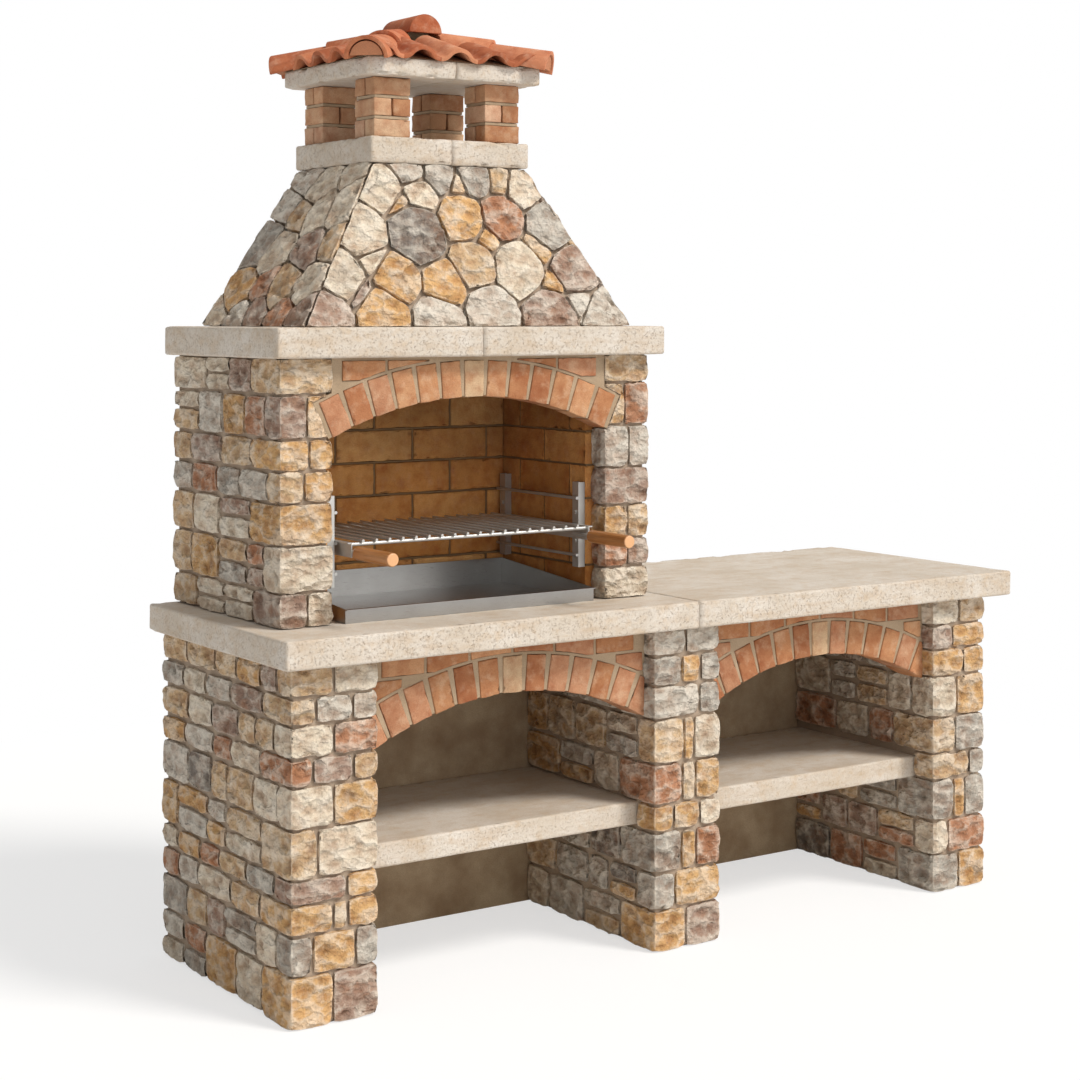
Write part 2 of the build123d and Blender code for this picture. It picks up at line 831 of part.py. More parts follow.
# Chimney: collar slabs round the flue, four brick pillars, and the cap slabs
with BuildPart() as collar_slabs:
    with Locations((fire_x, chimney_y, hood_top + collar_thickness / 2)):
        Box(collar_width, collar_depth, collar_thickness)
        Box(flue_width, flue_depth, collar_thickness, mode=Mode.SUBTRACT)
        Box(slab_joint, collar_depth, collar_thickness, mode=Mode.SUBTRACT)
    outer_edges = collar_slabs.edges().filter_by(Axis.Z).group_by(Axis.X)
    fillet(outer_edges[0] + outer_edges[-1], slab_edge)
finish(collar_slabs, "collar_slabs")

pillar_across = collar_width - 2 * pillar_inset - pillar_brick_width
pillar_along = collar_depth - 2 * pillar_inset - pillar_brick_depth
pillar_step = pillar_brick_height + pillar_joint
split_joint = pillar_joint / 2
with BuildPart() as chimney_bricks:
    for course in range(pillar_courses):
        with BuildSketch(Plane.XY.offset(collar_top + course * pillar_step)):
            with Locations((fire_x, chimney_y)):
                with GridLocations(pillar_across, pillar_along, 2, 2):
                    Rectangle(pillar_brick_width, pillar_brick_depth)
                    if course % 2:
                        Rectangle(split_joint, pillar_brick_depth, mode=Mode.SUBTRACT)
                    else:
                        Rectangle(pillar_brick_width, split_joint, mode=Mode.SUBTRACT)
        extrude(amount=pillar_brick_height)
finish(chimney_bricks, "chimney_bricks")
with BuildPart() as chimney_joints:
    for course in range(pillar_courses - 1):
        with BuildSketch(Plane.XY.offset(collar_top + course * pillar_step + pillar_brick_height)):
            with Locations((fire_x, chimney_y)):
                with GridLocations(pillar_across, pillar_along, 2, 2):
                    Rectangle(pillar_brick_width - 2 * joint_recess, pillar_brick_depth - 2 * joint_recess)
        extrude(amount=pillar_joint)
finish(chimney_joints, "chimney_joints")

with BuildPart() as cap_slabs:
    with Locations((fire_x, chimney_y, cap_bottom + cap_thickness / 2)):
        Box(cap_width, cap_depth, cap_thickness)
        Box(slab_joint, cap_depth, cap_thickness, mode=Mode.SUBTRACT)
    outer_edges = cap_slabs.edges().filter_by(Axis.Z).group_by(Axis.X)
    fillet(outer_edges[0] + outer_edges[-1], slab_edge)
finish(cap_slabs, "cap_slabs")

# Clay roof: tapered half-round tiles bedded along the hips, wavy tiles cut to fit them, and a ridge cap
pitch_angle = math.radians(roof_pitch)
roof_slope = math.tan(pitch_angle)
roof_foot = Vector(fire_x, chimney_y, cap_top)
ridge_axis = cap_top + ridge_rise - ridge_radius
bed_rise = (cap_depth / 2 - bed_top) * roof_slope
with BuildPart() as roof_bed:
    with BuildSketch(Plane.XY.offset(cap_top)):
        with Locations((fire_x, chimney_y)):
            Rectangle(cap_width, cap_depth)
    with BuildSketch(Plane.XY.offset(cap_top + bed_rise)):
        with Locations((fire_x, chimney_y)):
            Rectangle(cap_width - cap_depth + 2 * bed_top, 2 * bed_top)
    loft(ruled=True)
    with BuildSketch(Plane.XZ.offset(-chimney_y)):
        mortar_radius = ridge_radius - ridge_thickness - tile_seat
        with Locations((fire_x, ridge_axis)):
            Circle(mortar_radius)
        with Locations((fire_x, (cap_top + ridge_axis) / 2)):
            Rectangle(2 * mortar_radius, ridge_axis - cap_top)
    extrude(amount=bed_top - ridge_mortar_gap, both=True)
finish(roof_bed, "roof_bed")

ridge_half = (cap_width - cap_depth) / 2
hip_plan = cap_depth / 2 + eave_overhang
hip_length = hip_plan * math.sqrt(2 + roof_slope**2)
hip_tile_length = (hip_length + hip_lap) / 2
hip_taper = (hip_thickness + tile_seat) * hip_tile_length / (hip_tile_length - hip_lap)
bed_fall = math.sqrt(0.5) * roof_slope
hip_lift = tile_seat - (hip_radius - hip_taper - hip_thickness) * bed_fall
with BuildPart() as ridge_seat:
    with BuildSketch(Plane.XZ.offset(-chimney_y)):
        with Locations((fire_x, ridge_axis)):
            Circle(ridge_radius + tile_seat)
    extrude(amount=ridge_length / 2 + tile_seat, both=True)
hip_tile_sets, hip_mortar_sets, hip_seats = [], [], []
for side_x, side_y in ((-1, -1), (1, -1), (1, 1), (-1, 1)):
    lift = bed_clearance + hip_lift
    head = roof_foot + Vector(side_x * ridge_half, 0, lift + cap_depth / 2 * roof_slope)
    foot = head + Vector(side_x * hip_plan, side_y * hip_plan, -hip_plan * roof_slope)
    hip_way = (head - foot).normalized()
    across = Vector(0, 0, 1).cross(hip_way)
    for number, reach in enumerate((0, hip_tile_length - hip_lap)):
        ends = ((reach, hip_radius), (reach + hip_tile_length, hip_radius - hip_taper))
        with BuildPart() as hip_tile:
            for distance, radius in ends:
                with BuildSketch(Plane(origin=foot + hip_way * distance, x_dir=across, z_dir=hip_way)):
                    Circle(radius)
                    Circle(radius - hip_thickness, mode=Mode.SUBTRACT)
                    with Locations((0, -radius)):
                        Rectangle(2 * radius, 2 * radius, mode=Mode.SUBTRACT)
            loft(ruled=True)
            if number:
                for way in (Vector(side_x, 0, 0), Vector(0, side_y, 0)):
                    split(bisect_by=Plane(origin=roof_foot + way * tile_seat, z_dir=way), keep=Keep.TOP)
                add(ridge_seat.part, mode=Mode.SUBTRACT)
        hip_tile_sets.append(hip_tile.part)
        with BuildPart() as hip_seat:
            for distance, radius in ends:
                with BuildSketch(Plane(origin=foot + hip_way * distance, x_dir=across, z_dir=hip_way)):
                    Circle(radius + tile_seat)
                    with Locations((0, -radius)):
                        Rectangle(2 * (radius + tile_seat), 2 * radius)
            loft(ruled=True)
        hip_seats.append(hip_seat.part)
    with BuildPart() as hip_mortar:
        mortar_start = foot + hip_way * hip_mortar_inset
        mortar_end = hip_mortar_inset + hip_mortar_length
        mortar_radius = hip_radius - hip_thickness - hip_taper * mortar_end / hip_tile_length - tile_seat
        mortar_floor = tile_seat - lift * math.hypot(hip_way.X, hip_way.Y)
        with BuildSketch(Plane(origin=mortar_start, x_dir=across, z_dir=hip_way)):
            Circle(mortar_radius)
            with Locations((0, mortar_floor - mortar_radius)):
                Rectangle(2 * mortar_radius, 2 * mortar_radius, mode=Mode.SUBTRACT)
        extrude(amount=hip_mortar_length)
    hip_mortar_sets.append(hip_mortar.part)
with BuildPart() as hip_tiles:
    add(hip_tile_sets)
finish(hip_tiles, "hip_tiles")
with BuildPart() as hip_mortars:
    add(hip_mortar_sets)
finish(hip_mortars, "hip_mortar")

roof_sides = {
    "front": (Vector(0, 1, 0), cap_width, cap_depth / 2),
    "back": (Vector(0, -1, 0), cap_width, cap_depth / 2),
    "left": (Vector(1, 0, 0), cap_depth, cap_width / 2),
    "right": (Vector(-1, 0, 0), cap_depth, cap_width / 2),
}
tile_sets = []
for inward, eave, run in roof_sides.values():
    edge = roof_foot - inward * run + Vector(0, 0, bed_clearance)
    along = inward.cross(Vector(0, 0, 1))
    up_slope = inward * math.cos(pitch_angle) + Vector(0, 0, math.sin(pitch_angle))
    outward = Vector(0, 0, math.cos(pitch_angle)) - inward * math.sin(pitch_angle)
    slope_start = edge - up_slope * (eave_overhang / math.cos(pitch_angle))
    full_eave = eave + 2 * eave_overhang
    columns = round(full_eave / tile_width)
    width = full_eave / columns
    quarter = (width - tile_gap) / 4
    with BuildPart() as tiles:
        with BuildSketch(Plane(origin=slope_start, x_dir=outward.cross(up_slope), z_dir=up_slope)):
            for column in range(columns):
                start = -full_eave / 2 + column * width + tile_gap / 2
                points = [(start, 0), (start + quarter, wave_height / 2), (start + 2 * quarter, wave_height)]
                points += [(start + 3 * quarter, wave_height / 2), (start + 4 * quarter, 0)]
                with BuildLine():
                    rising = TangentArc(points[0], points[1], tangent=(1, 0))
                    crest = TangentArc(points[1], points[2], tangent=rising % 1)
                    falling = TangentArc(points[2], points[3], tangent=crest % 1)
                    TangentArc(points[3], points[4], tangent=falling % 1)
                    offset(amount=tile_thickness, side=Side.LEFT)
                make_face()
        extrude(amount=(run + eave_overhang) / math.cos(pitch_angle))
        for way in (1, -1):
            normal = (along * way - inward).normalized()
            corner = edge - along * way * (eave / 2)
            split(bisect_by=Plane(origin=corner, z_dir=normal), keep=Keep.TOP)
        if eave > 2 * run:
            split(bisect_by=Plane(origin=roof_foot - inward * bed_top, z_dir=-inward), keep=Keep.TOP)
        add(hip_seats, mode=Mode.SUBTRACT)
        add(ridge_seat.part, mode=Mode.SUBTRACT)
    tile_sets.extend(tile for tile in tiles.solids() if tile.volume > least_tile)
with BuildPart() as roof_tiles:
    add(tile_sets)
finish(roof_tiles, "roof_tiles")

with BuildPart() as ridge_cap:
    ridge_front = chimney_y - ridge_length / 2
    with BuildSketch(Plane.XZ.offset(-ridge_front)):
        with Locations((fire_x, ridge_axis)):
            Circle(ridge_radius)
        with Locations((fire_x, ridge_axis - ridge_radius)):
            Rectangle(2 * ridge_radius, 2 * ridge_radius, mode=Mode.SUBTRACT)
    extrude(amount=-ridge_length)
    with BuildSketch(Plane.XZ.offset(-ridge_front - ridge_thickness)):
        with Locations((fire_x, ridge_axis)):
            Circle(ridge_radius - ridge_thickness)
    extrude(amount=-ridge_length, mode=Mode.SUBTRACT)
finish(ridge_cap, "ridge_cap")

# Fire tray: folded sheet steel, low at the front and higher at the back, that stands on the worktop
tray_front = firebox_front + tray_front_setback
tray_back = lining_back - tray_back_clearance
tray_width = chamber_width - 2 * tray_clearance
tray_floor = counter_height + tray_wall
with BuildPart() as fire_tray:
    with BuildSketch(Plane.YZ.offset(fire_x)):
        Polygon(
            (tray_front, counter_height),
            (tray_back, counter_height),
            (tray_back, counter_height + tray_back_height),
            (tray_front, counter_height + tray_front_height),
            align=None,
        )
    extrude(amount=tray_width / 2, both=True)
    with BuildSketch(Plane.YZ.offset(fire_x)):
        Polygon(
            (tray_front + tray_wall, tray_floor),
            (tray_back - tray_wall, tray_floor),
            (tray_back - tray_wall, tray_floor + tray_back_height),
            (tray_front + tray_wall, tray_floor + tray_back_height),
            align=None,
        )
    extrude(amount=tray_width / 2 - tray_wall, both=True, mode=Mode.SUBTRACT)
    hem_top = counter_height + tray_front_height
    box_between(
        (fire_x - tray_width / 2, tray_front - tray_hem, hem_top - tray_wall),
        (fire_x + tray_width / 2, tray_front, hem_top),
    )
finish(fire_tray, "fire_tray")

# Grill rack: channel uprights anchored to the lining, with support rods welded to their inner faces
web_face = chamber_width / 2 - upright_depth
with BuildPart() as rack_uprights:
    for side in (-1, 1):
        with BuildSketch(Plane.XY.offset(counter_height + upright_low)):
            for start in upright_fronts:
                middle_y = start + upright_width / 2
                with Locations((fire_x + side * (web_face + upright_depth / 2), middle_y)):
                    Rectangle(upright_depth, upright_width)
                with Locations((fire_x + side * (web_face + upright_wall + upright_depth / 2), middle_y)):
                    Rectangle(upright_depth, upright_width - 2 * upright_wall, mode=Mode.SUBTRACT)
        extrude(amount=upright_high - upright_low)
    with BuildSketch(Plane.YZ.offset(fire_x)):
        with Locations(*anchor_places):
            Circle(anchor_diameter / 2 + anchor_clearance)
    extrude(amount=chamber_width / 2, both=True, mode=Mode.SUBTRACT)
finish(rack_uprights, "rack_uprights")

with BuildPart() as rack_anchors:
    for side in (-1, 1):
        with BuildSketch(Plane.YZ.offset(fire_x + side * (web_face - anchor_head_height))):
            with Locations(*anchor_places):
                RegularPolygon(anchor_head / 2, 6)
        extrude(amount=side * anchor_head_height)
        with BuildSketch(Plane.YZ.offset(fire_x + side * web_face)):
            with Locations(*anchor_places):
                Circle(anchor_diameter / 2)
        extrude(amount=side * (upright_depth + anchor_depth))
finish(rack_anchors, "rack_anchors")

rod_across = web_face - rod_gap - rod_diameter / 2
rod_front = upright_fronts[0]
rod_back = upright_fronts[1] + upright_width + rod_tail
with BuildPart() as rack_rods:
    with BuildSketch(Plane.XZ.offset(-rod_front)):
        for level in rod_levels:
            height = counter_height + level
            with Locations((fire_x - rod_across, height), (fire_x + rod_across, height)):
                Circle(rod_diameter / 2)
    extrude(amount=rod_front - rod_back)
finish(rack_rods, "rack_rods")

# Grill: angle rails that run on the rods, cross rods between them, bars over those, and two handles
rail_outer = rod_across - rod_diameter / 2 - rail_rod_clearance
rail_inner = rail_outer - rail_wall
rail_edge = web_face - rail_side_clearance
rail_seat = counter_height + rod_levels[grill_pair] + rod_diameter / 2 + running_clearance
rail_top = rail_seat + rail_wall
rail_front = firebox_front
rail_back = lining_back - grill_back_setback
cross_height = rail_top - cross_rod_drop
with BuildPart() as grill_frame:
    with BuildSketch(Plane.XZ.offset(-rail_front)):
        for side in (-1, 1):
            Polygon(
                (fire_x + side * rail_inner, rail_top - rail_height),
                (fire_x + side * rail_outer, rail_top - rail_height),
                (fire_x + side * rail_outer, rail_seat),
                (fire_x + side * rail_edge, rail_seat),
                (fire_x + side * rail_edge, rail_top),
                (fire_x + side * rail_inner, rail_top),
                align=None,
            )
    extrude(amount=rail_front - rail_back)
finish(grill_frame, "grill_rails")

with BuildPart() as grill_cross_rods:
    with BuildSketch(Plane.YZ.offset(fire_x)):
        for place in (rail_front + cross_rod_inset, rail_back - cross_rod_inset):
            with Locations((place, cross_height)):
                Circle(cross_rod_diameter / 2)
    extrude(amount=rail_inner, both=True)
finish(grill_cross_rods, "grill_cross_rods")

bar_count = math.floor(2 * (rail_inner - bar_diameter) / bar_pitch)
bar_height = cross_height + (cross_rod_diameter + bar_diameter) / 2 + weld_gap
bar_front = rail_front + cross_rod_inset - bar_overhang
with BuildPart() as grill_bars:
    with BuildSketch(Plane.XZ.offset(-bar_front)):
        with Locations((fire_x, bar_height)):
            with GridLocations(bar_pitch, 0, bar_count, 1):
                Circle(bar_diameter / 2)
    extrude(amount=bar_front - (rail_back - cross_rod_inset + bar_overhang))
finish(grill_bars, "grill_bars")

handle_across = rail_inner - weld_gap - handle_rod_diameter / 2
handle_places = [(fire_x + side * handle_across, rail_top - handle_drop) for side in (-1, 1)]
grip_start = firebox_front - grip_setback
bore_end = grip_start - grip_length + grip_wall_end
with BuildPart() as handle_rods:
    with BuildSketch(Plane.XZ.offset(-(rail_front + handle_rod_lap))):
        with Locations(*handle_places):
            Circle(handle_rod_diameter / 2)
    extrude(amount=rail_front + handle_rod_lap - bore_end - running_clearance)
    with BuildSketch(Plane.XZ.offset(-grip_start)):
        with Locations(*handle_places):
            Circle(handle_collar_diameter / 2)
    extrude(amount=-handle_collar_length)
finish(handle_rods, "handle_rods")

with BuildPart() as handle_grips:
    with BuildSketch(Plane.XZ.offset(-grip_start)):
        with Locations(*handle_places):
            Circle(grip_diameter / 2)
    extrude(amount=grip_length)
    rims = handle_grips.edges().filter_by(GeomType.CIRCLE)
    fillet(rims, grip_diameter / 8)
    with BuildSketch(Plane.XZ.offset(-grip_start)):
        with Locations(*handle_places):
            Circle(handle_rod_diameter / 2 + grip_clearance)
    extrude(amount=grip_start - bore_end, mode=Mode.SUBTRACT)
finish(handle_grips, "handle_grips")
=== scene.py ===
import math
import random

import bmesh
import bpy
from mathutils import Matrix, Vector, noise
from mathutils.bvhtree import BVHTree
from mathutils.kdtree import KDTree


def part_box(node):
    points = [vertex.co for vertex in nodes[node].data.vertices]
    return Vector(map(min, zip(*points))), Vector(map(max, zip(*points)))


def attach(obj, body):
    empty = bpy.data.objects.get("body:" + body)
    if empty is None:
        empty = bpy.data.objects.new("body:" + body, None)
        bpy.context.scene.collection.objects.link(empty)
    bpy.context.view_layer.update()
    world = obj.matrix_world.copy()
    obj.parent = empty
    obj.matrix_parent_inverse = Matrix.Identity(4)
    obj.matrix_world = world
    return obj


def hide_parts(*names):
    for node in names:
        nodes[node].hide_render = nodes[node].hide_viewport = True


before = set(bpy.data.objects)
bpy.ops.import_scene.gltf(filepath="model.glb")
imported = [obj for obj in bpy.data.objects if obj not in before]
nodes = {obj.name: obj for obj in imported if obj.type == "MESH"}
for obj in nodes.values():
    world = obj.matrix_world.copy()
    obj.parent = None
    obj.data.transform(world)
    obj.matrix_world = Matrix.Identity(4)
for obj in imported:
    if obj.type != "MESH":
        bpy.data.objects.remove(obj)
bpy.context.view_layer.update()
scene = bpy.context.scene

# Camera: it stands left of the front at eye height and looks level, so that uprights stay upright, with the
# frame shifted down to hold the whole barbecue.
camera_data = bpy.data.cameras.new("camera")
camera_data.lens = 69.1
camera_data.shift_y = -0.208
camera = bpy.data.objects.new("camera", camera_data)
camera.location = (-3.3106, -4.5616, 1.6356)
camera.rotation_euler = (math.radians(90), 0, math.radians(-34.15))
scene.collection.objects.link(camera)
scene.camera = camera


# Studio: a pale floor that fades to white, a soft key light from high on the right of the front, a weak low
# fill from the front and an even surround. The camera and shiny surfaces see the surround as white and the
# floor as lifted towards white, and the floor keeps the barbecue's shadow.
def colour(code):
    """Linear colour of a hex code."""
    values = [int(code[start:start + 2], 16) / 255 for start in (1, 3, 5)]
    return [v / 12.92 if v <= 0.04045 else ((v + 0.055) / 1.055) ** 2.4 for v in values] + [1.0]


def feed(tree, socket, value):
    """Links a socket to another one, or sets it to a value."""
    if isinstance(value, bpy.types.NodeSocket):
        tree.links.new(value, socket)
    else:
        socket.default_value = value


def add_node(tree, kind, inputs=(), **settings):
    """A node with its settings, whose inputs are linked to sockets or set to values."""
    made = tree.nodes.new(kind)
    for name, value in settings.items():
        setattr(made, name, value)
    for name, value in dict(inputs).items():
        feed(tree, made.inputs[name], value)
    return made


def reckoned(tree, operation, first, second):
    """Value socket of a sum, a product or another operation on two values."""
    return add_node(tree, "ShaderNodeMath", {0: first, 1: second}, operation=operation).outputs[0]


def spread(tree, value, low, high, to_low=0.0, to_high=1.0):
    """Value socket stretched from one range to another and held within it."""
    ranges = {"Value": value, "From Min": low, "From Max": high, "To Min": to_low, "To Max": to_high}
    return add_node(tree, "ShaderNodeMapRange", ranges).outputs[0]


def background_share(tree):
    """Value socket that is 1 on rays from the camera, from shiny surfaces and through clear ones."""
    path = add_node(tree, "ShaderNodeLightPath")
    shiny = reckoned(tree, "MAXIMUM", path.outputs["Is Glossy Ray"], path.outputs["Is Transmission Ray"])
    return reckoned(tree, "MAXIMUM", path.outputs["Is Camera Ray"], shiny)


def add_sun(name, energy, width, way):
    """Sun lamp of a strength and a width in degrees that shines along a way."""
    made = bpy.data.objects.new(name, bpy.data.lights.new(name, "SUN"))
    made.data.energy = energy
    made.data.angle = math.radians(width)
    made.rotation_euler = Vector(way).to_track_quat("-Z", "Y").to_euler()
    scene.collection.objects.link(made)
    return made


scene.view_settings.view_transform = "Standard"
world = bpy.data.worlds.new("surround")
world.use_nodes = True
tree = world.node_tree
tree.nodes.clear()
ambient_level = 0.43
level = spread(tree, background_share(tree), 0.0, 1.0, to_low=ambient_level)
surround = add_node(tree, "ShaderNodeBackground", {"Color": colour("#FFFFFF"), "Strength": level})
add_node(tree, "ShaderNodeOutputWorld", {"Surface": surround.outputs[0]})
scene.world = world

key = add_sun("key", energy=2.77, width=16, way=(-0.34, 0.6, -0.72))
key.data.color = (1.0, 0.975, 0.94)
add_sun("fill", energy=0.68, width=60, way=(-0.15, 0.95, -0.22))

floor_reach, fade_start, fade_end, floor_lift = 30, 1.4, 3.2, 0.62
floor_mesh = bpy.data.meshes.new("floor")
bm = bmesh.new()
bmesh.ops.create_grid(bm, x_segments=1, y_segments=1, size=floor_reach)
bm.to_mesh(floor_mesh)
bm.free()
floor = bpy.data.objects.new("floor", floor_mesh)
scene.collection.objects.link(floor)
floor_paint = bpy.data.materials.new("pale_floor")
floor_paint.use_nodes = True
tree = floor_paint.node_tree
tree.nodes.clear()
place = add_node(tree, "ShaderNodeTexCoord").outputs["Object"]
away = add_node(tree, "ShaderNodeVectorMath", {0: place}, operation="LENGTH").outputs["Value"]
fade = spread(tree, away, fade_start, fade_end)
lifted = reckoned(tree, "MULTIPLY", background_share(tree), floor_lift)
glow = reckoned(tree, "MAXIMUM", fade, lifted)
matt = add_node(tree, "ShaderNodeBsdfDiffuse", {"Color": colour("#FBFAF8")}).outputs[0]
white = add_node(tree, "ShaderNodeEmission", {"Color": colour("#FFFFFF")}).outputs[0]
mix = add_node(tree, "ShaderNodeMixShader", {0: glow, 1: matt, 2: white}).outputs[0]
add_node(tree, "ShaderNodeOutputMaterial", {"Surface": mix})
floor_mesh.materials.append(floor_paint)


# Pier cores: cast blocks that carry the worktop, with slots for the shelves. Their rough mortar face lies
# behind the facing stones and shows bare at the back.
def blended(tree, factor, first, second, how="MIX"):
    """Colour socket of two colours blended by a factor."""
    factor_input, first_input, second_input, colour_output = 0, 6, 7, 2
    inputs = {factor_input: factor, first_input: first, second_input: second}
    made = add_node(tree, "ShaderNodeMix", inputs, data_type="RGBA", blend_type=how)
    return made.outputs[colour_output]


def grain(tree, where, scale, detail=4.0, roughness=0.55, number=0.0):
    """Noise socket at a scale in bumps per metre. A piece's number gives each piece its own pattern."""
    inputs = {"Vector": where, "W": number, "Scale": scale, "Detail": detail, "Roughness": roughness}
    return add_node(tree, "ShaderNodeTexNoise", inputs, noise_dimensions="4D").outputs["Fac"]


def new_material(name):
    """Material with its node tree, its main shader and the object's own coordinates."""
    made = bpy.data.materials.new(name)
    made.use_nodes = True
    tree = made.node_tree
    where = add_node(tree, "ShaderNodeTexCoord").outputs["Object"]
    return made, tree, tree.nodes["Principled BSDF"], where


def finish_surface(tree, shader, base, roughness, height, depth):
    """Sets a shader's colour, roughness and bump, whose depth is in metres."""
    feed(tree, shader.inputs["Base Color"], base)
    feed(tree, shader.inputs["Roughness"], roughness)
    bump = add_node(tree, "ShaderNodeBump", {"Height": height, "Strength": 1.0, "Distance": depth})
    feed(tree, shader.inputs["Normal"], bump.outputs[0])


def mortar_finish(name, base, shade):
    """Sandy mortar, a little patchy, between two colours."""
    made, tree, shader, where = new_material(name)
    patches = spread(tree, grain(tree, where, scale=9), 0.35, 0.7)
    sand = grain(tree, where, scale=420, detail=2)
    lumps = reckoned(tree, "MULTIPLY", grain(tree, where, scale=60), 2.0)
    lumps = reckoned(tree, "ADD", lumps, sand)
    base = blended(tree, patches, colour(base), colour(shade))
    base = blended(tree, spread(tree, sand, 0.3, 0.7, to_high=0.35), base, colour("#6F6252"))
    finish_surface(tree, shader, base, roughness=0.92, height=lumps, depth=0.0012)
    shader.inputs["Specular IOR Level"].default_value = 0.2
    return made


def dress(node, material):
    """Gives a CAD node that is shown as it is a better material."""
    nodes[node].data.materials.clear()
    nodes[node].data.materials.append(material)


core_mortar = mortar_finish("core_mortar", "#B8A490", "#9D8975")
for node in ("left_pier_core", "middle_pier_core", "right_pier_core"):
    dress(node, core_mortar)


# Facing stones of the piers: split field stones in creams, tans, honeys, rusts and greys, dressed square and
# set in mortar on the cores. The corner stones turn back along the sides.
corners, triangles = [], []
for shape in nodes.values():
    first = len(corners)
    corners.extend(vert.co.copy() for vert in shape.data.vertices)
    triangles.extend([first + index for index in face.vertices] for face in shape.data.polygons)
masonry_around = BVHTree.FromPolygons(corners, triangles)


def merged(node):
    """Copy of a CAD node's mesh with its loose triangles joined into whole faces."""
    weld, flat = 0.00001, math.radians(1)
    bm = bmesh.new()
    bm.from_mesh(nodes[node].data)
    bmesh.ops.remove_doubles(bm, verts=bm.verts, dist=weld)
    bmesh.ops.dissolve_limit(bm, angle_limit=flat, verts=bm.verts, edges=bm.edges)
    return bm


def number_pieces(bm):
    """Numbers the loose pieces of a mesh in a face layer and returns the box of each."""
    layer = bm.faces.layers.int.new("piece")
    for face in bm.faces:
        face[layer] = -1
    boxes = []
    for first in bm.faces:
        if first[layer] >= 0:
            continue
        first[layer] = len(boxes)
        waiting, corners = [first], []
        while waiting:
            face = waiting.pop()
            corners.extend(vert.co.copy() for vert in face.verts)
            for edge in face.edges:
                for other in edge.link_faces:
                    if other[layer] < 0:
                        other[layer] = len(boxes)
                        waiting.append(other)
        low = Vector([min(point[i] for point in corners) for i in range(3)])
        high = Vector([max(point[i] for point in corners) for i in range(3)])
        boxes.append((low, high))
    return boxes


def mark_hidden(bm):
    """Marks the faces that another face of the model covers closely, such as those in the joints and beds."""
    reach, start = 0.03, 0.0005
    layer = bm.faces.layers.int.new("hidden")
    for face in bm.faces:
        centre = face.calc_center_median() + face.normal * start
        face[layer] = masonry_around.ray_cast(centre, face.normal, reach)[0] is not None


def refine(bm, longest):
    """Splits edges in half until they are under a length, which is eased where they are hidden."""
    hidden_ease = 5
    bmesh.ops.triangulate(bm, faces=bm.faces)
    hidden = bm.faces.layers.int.get("hidden")
    rounds = math.ceil(math.log2(max(edge.calc_length() for edge in bm.edges) / longest))
    for _ in range(rounds):
        edges = []
        for edge in bm.edges:
            covered = hidden and all(face[hidden] for face in edge.link_faces)
            if edge.calc_length() > longest * (hidden_ease if covered else 1):
                edges.append(edge)
        bmesh.ops.subdivide_edges(bm, edges=edges, cuts=1)
        bmesh.ops.triangulate(bm, faces=bm.faces)


def soften(bm, width, corner=30, covered=2):
    """Rounds a mesh's edges that turn by more than a corner angle, and returns the new faces.

    An edge with as many hidden faces as covered, or more, stays sharp.
    """
    hidden = bm.faces.layers.int.get("hidden")
    sharp = []
    for edge in bm.edges:
        hidden_sides = sum(face[hidden] for face in edge.link_faces) if hidden else 0
        if hidden_sides < covered and edge.calc_face_angle(0) > math.radians(corner):
            sharp.append(edge)
    return bmesh.ops.bevel(
        bm, geom=sharp, offset=width, offset_type="OFFSET", segments=2, profile=0.5, affect="EDGES",
        material=-1, clamp_overlap=True,
    )["faces"]


def push_out(bm, depths):
    """Moves each vertex of a mesh along its normal by its own depth."""
    for vert, depth in zip(bm.verts, depths):
        vert.co += vert.normal * depth


def place_piece(name, bm, material, replaced, crease, tones=None, relief_shades=None):
    """Puts a finished mesh in the place of a CAD node, with the tone and number of each stone in it."""
    number_step = 1.7
    mesh = bpy.data.meshes.new(name)
    layer = bm.faces.layers.int["piece"]
    numbers = [vert.link_faces[0][layer] for vert in bm.verts]
    for face in bm.faces:
        face.smooth = True
    bm.to_mesh(mesh)
    bm.free()
    if tones:
        attribute = mesh.attributes.new("tone", "FLOAT_COLOR", "POINT")
        attribute.data.foreach_set("color", [part for number in numbers for part in tones[number]])
    attribute = mesh.attributes.new("number", "FLOAT", "POINT")
    attribute.data.foreach_set("value", [number * number_step for number in numbers])
    # The relief of each vertex, where given, drives painted shade and highlight in the stone finish.
    if relief_shades:
        attribute = mesh.attributes.new("relief_shade", "FLOAT", "POINT")
        attribute.data.foreach_set("value", relief_shades)
    mesh.set_sharp_from_angle(angle=math.radians(crease))
    mesh.materials.append(material)
    made = bpy.data.objects.new(name, mesh)
    scene.collection.objects.link(made)
    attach(made, "masonry")
    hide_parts(replaced)


def piece_attribute(tree, name, output="Fac"):
    """Socket of one of the attributes that place_piece gives a mesh."""
    return add_node(tree, "ShaderNodeAttribute", attribute_name=name).outputs[output]


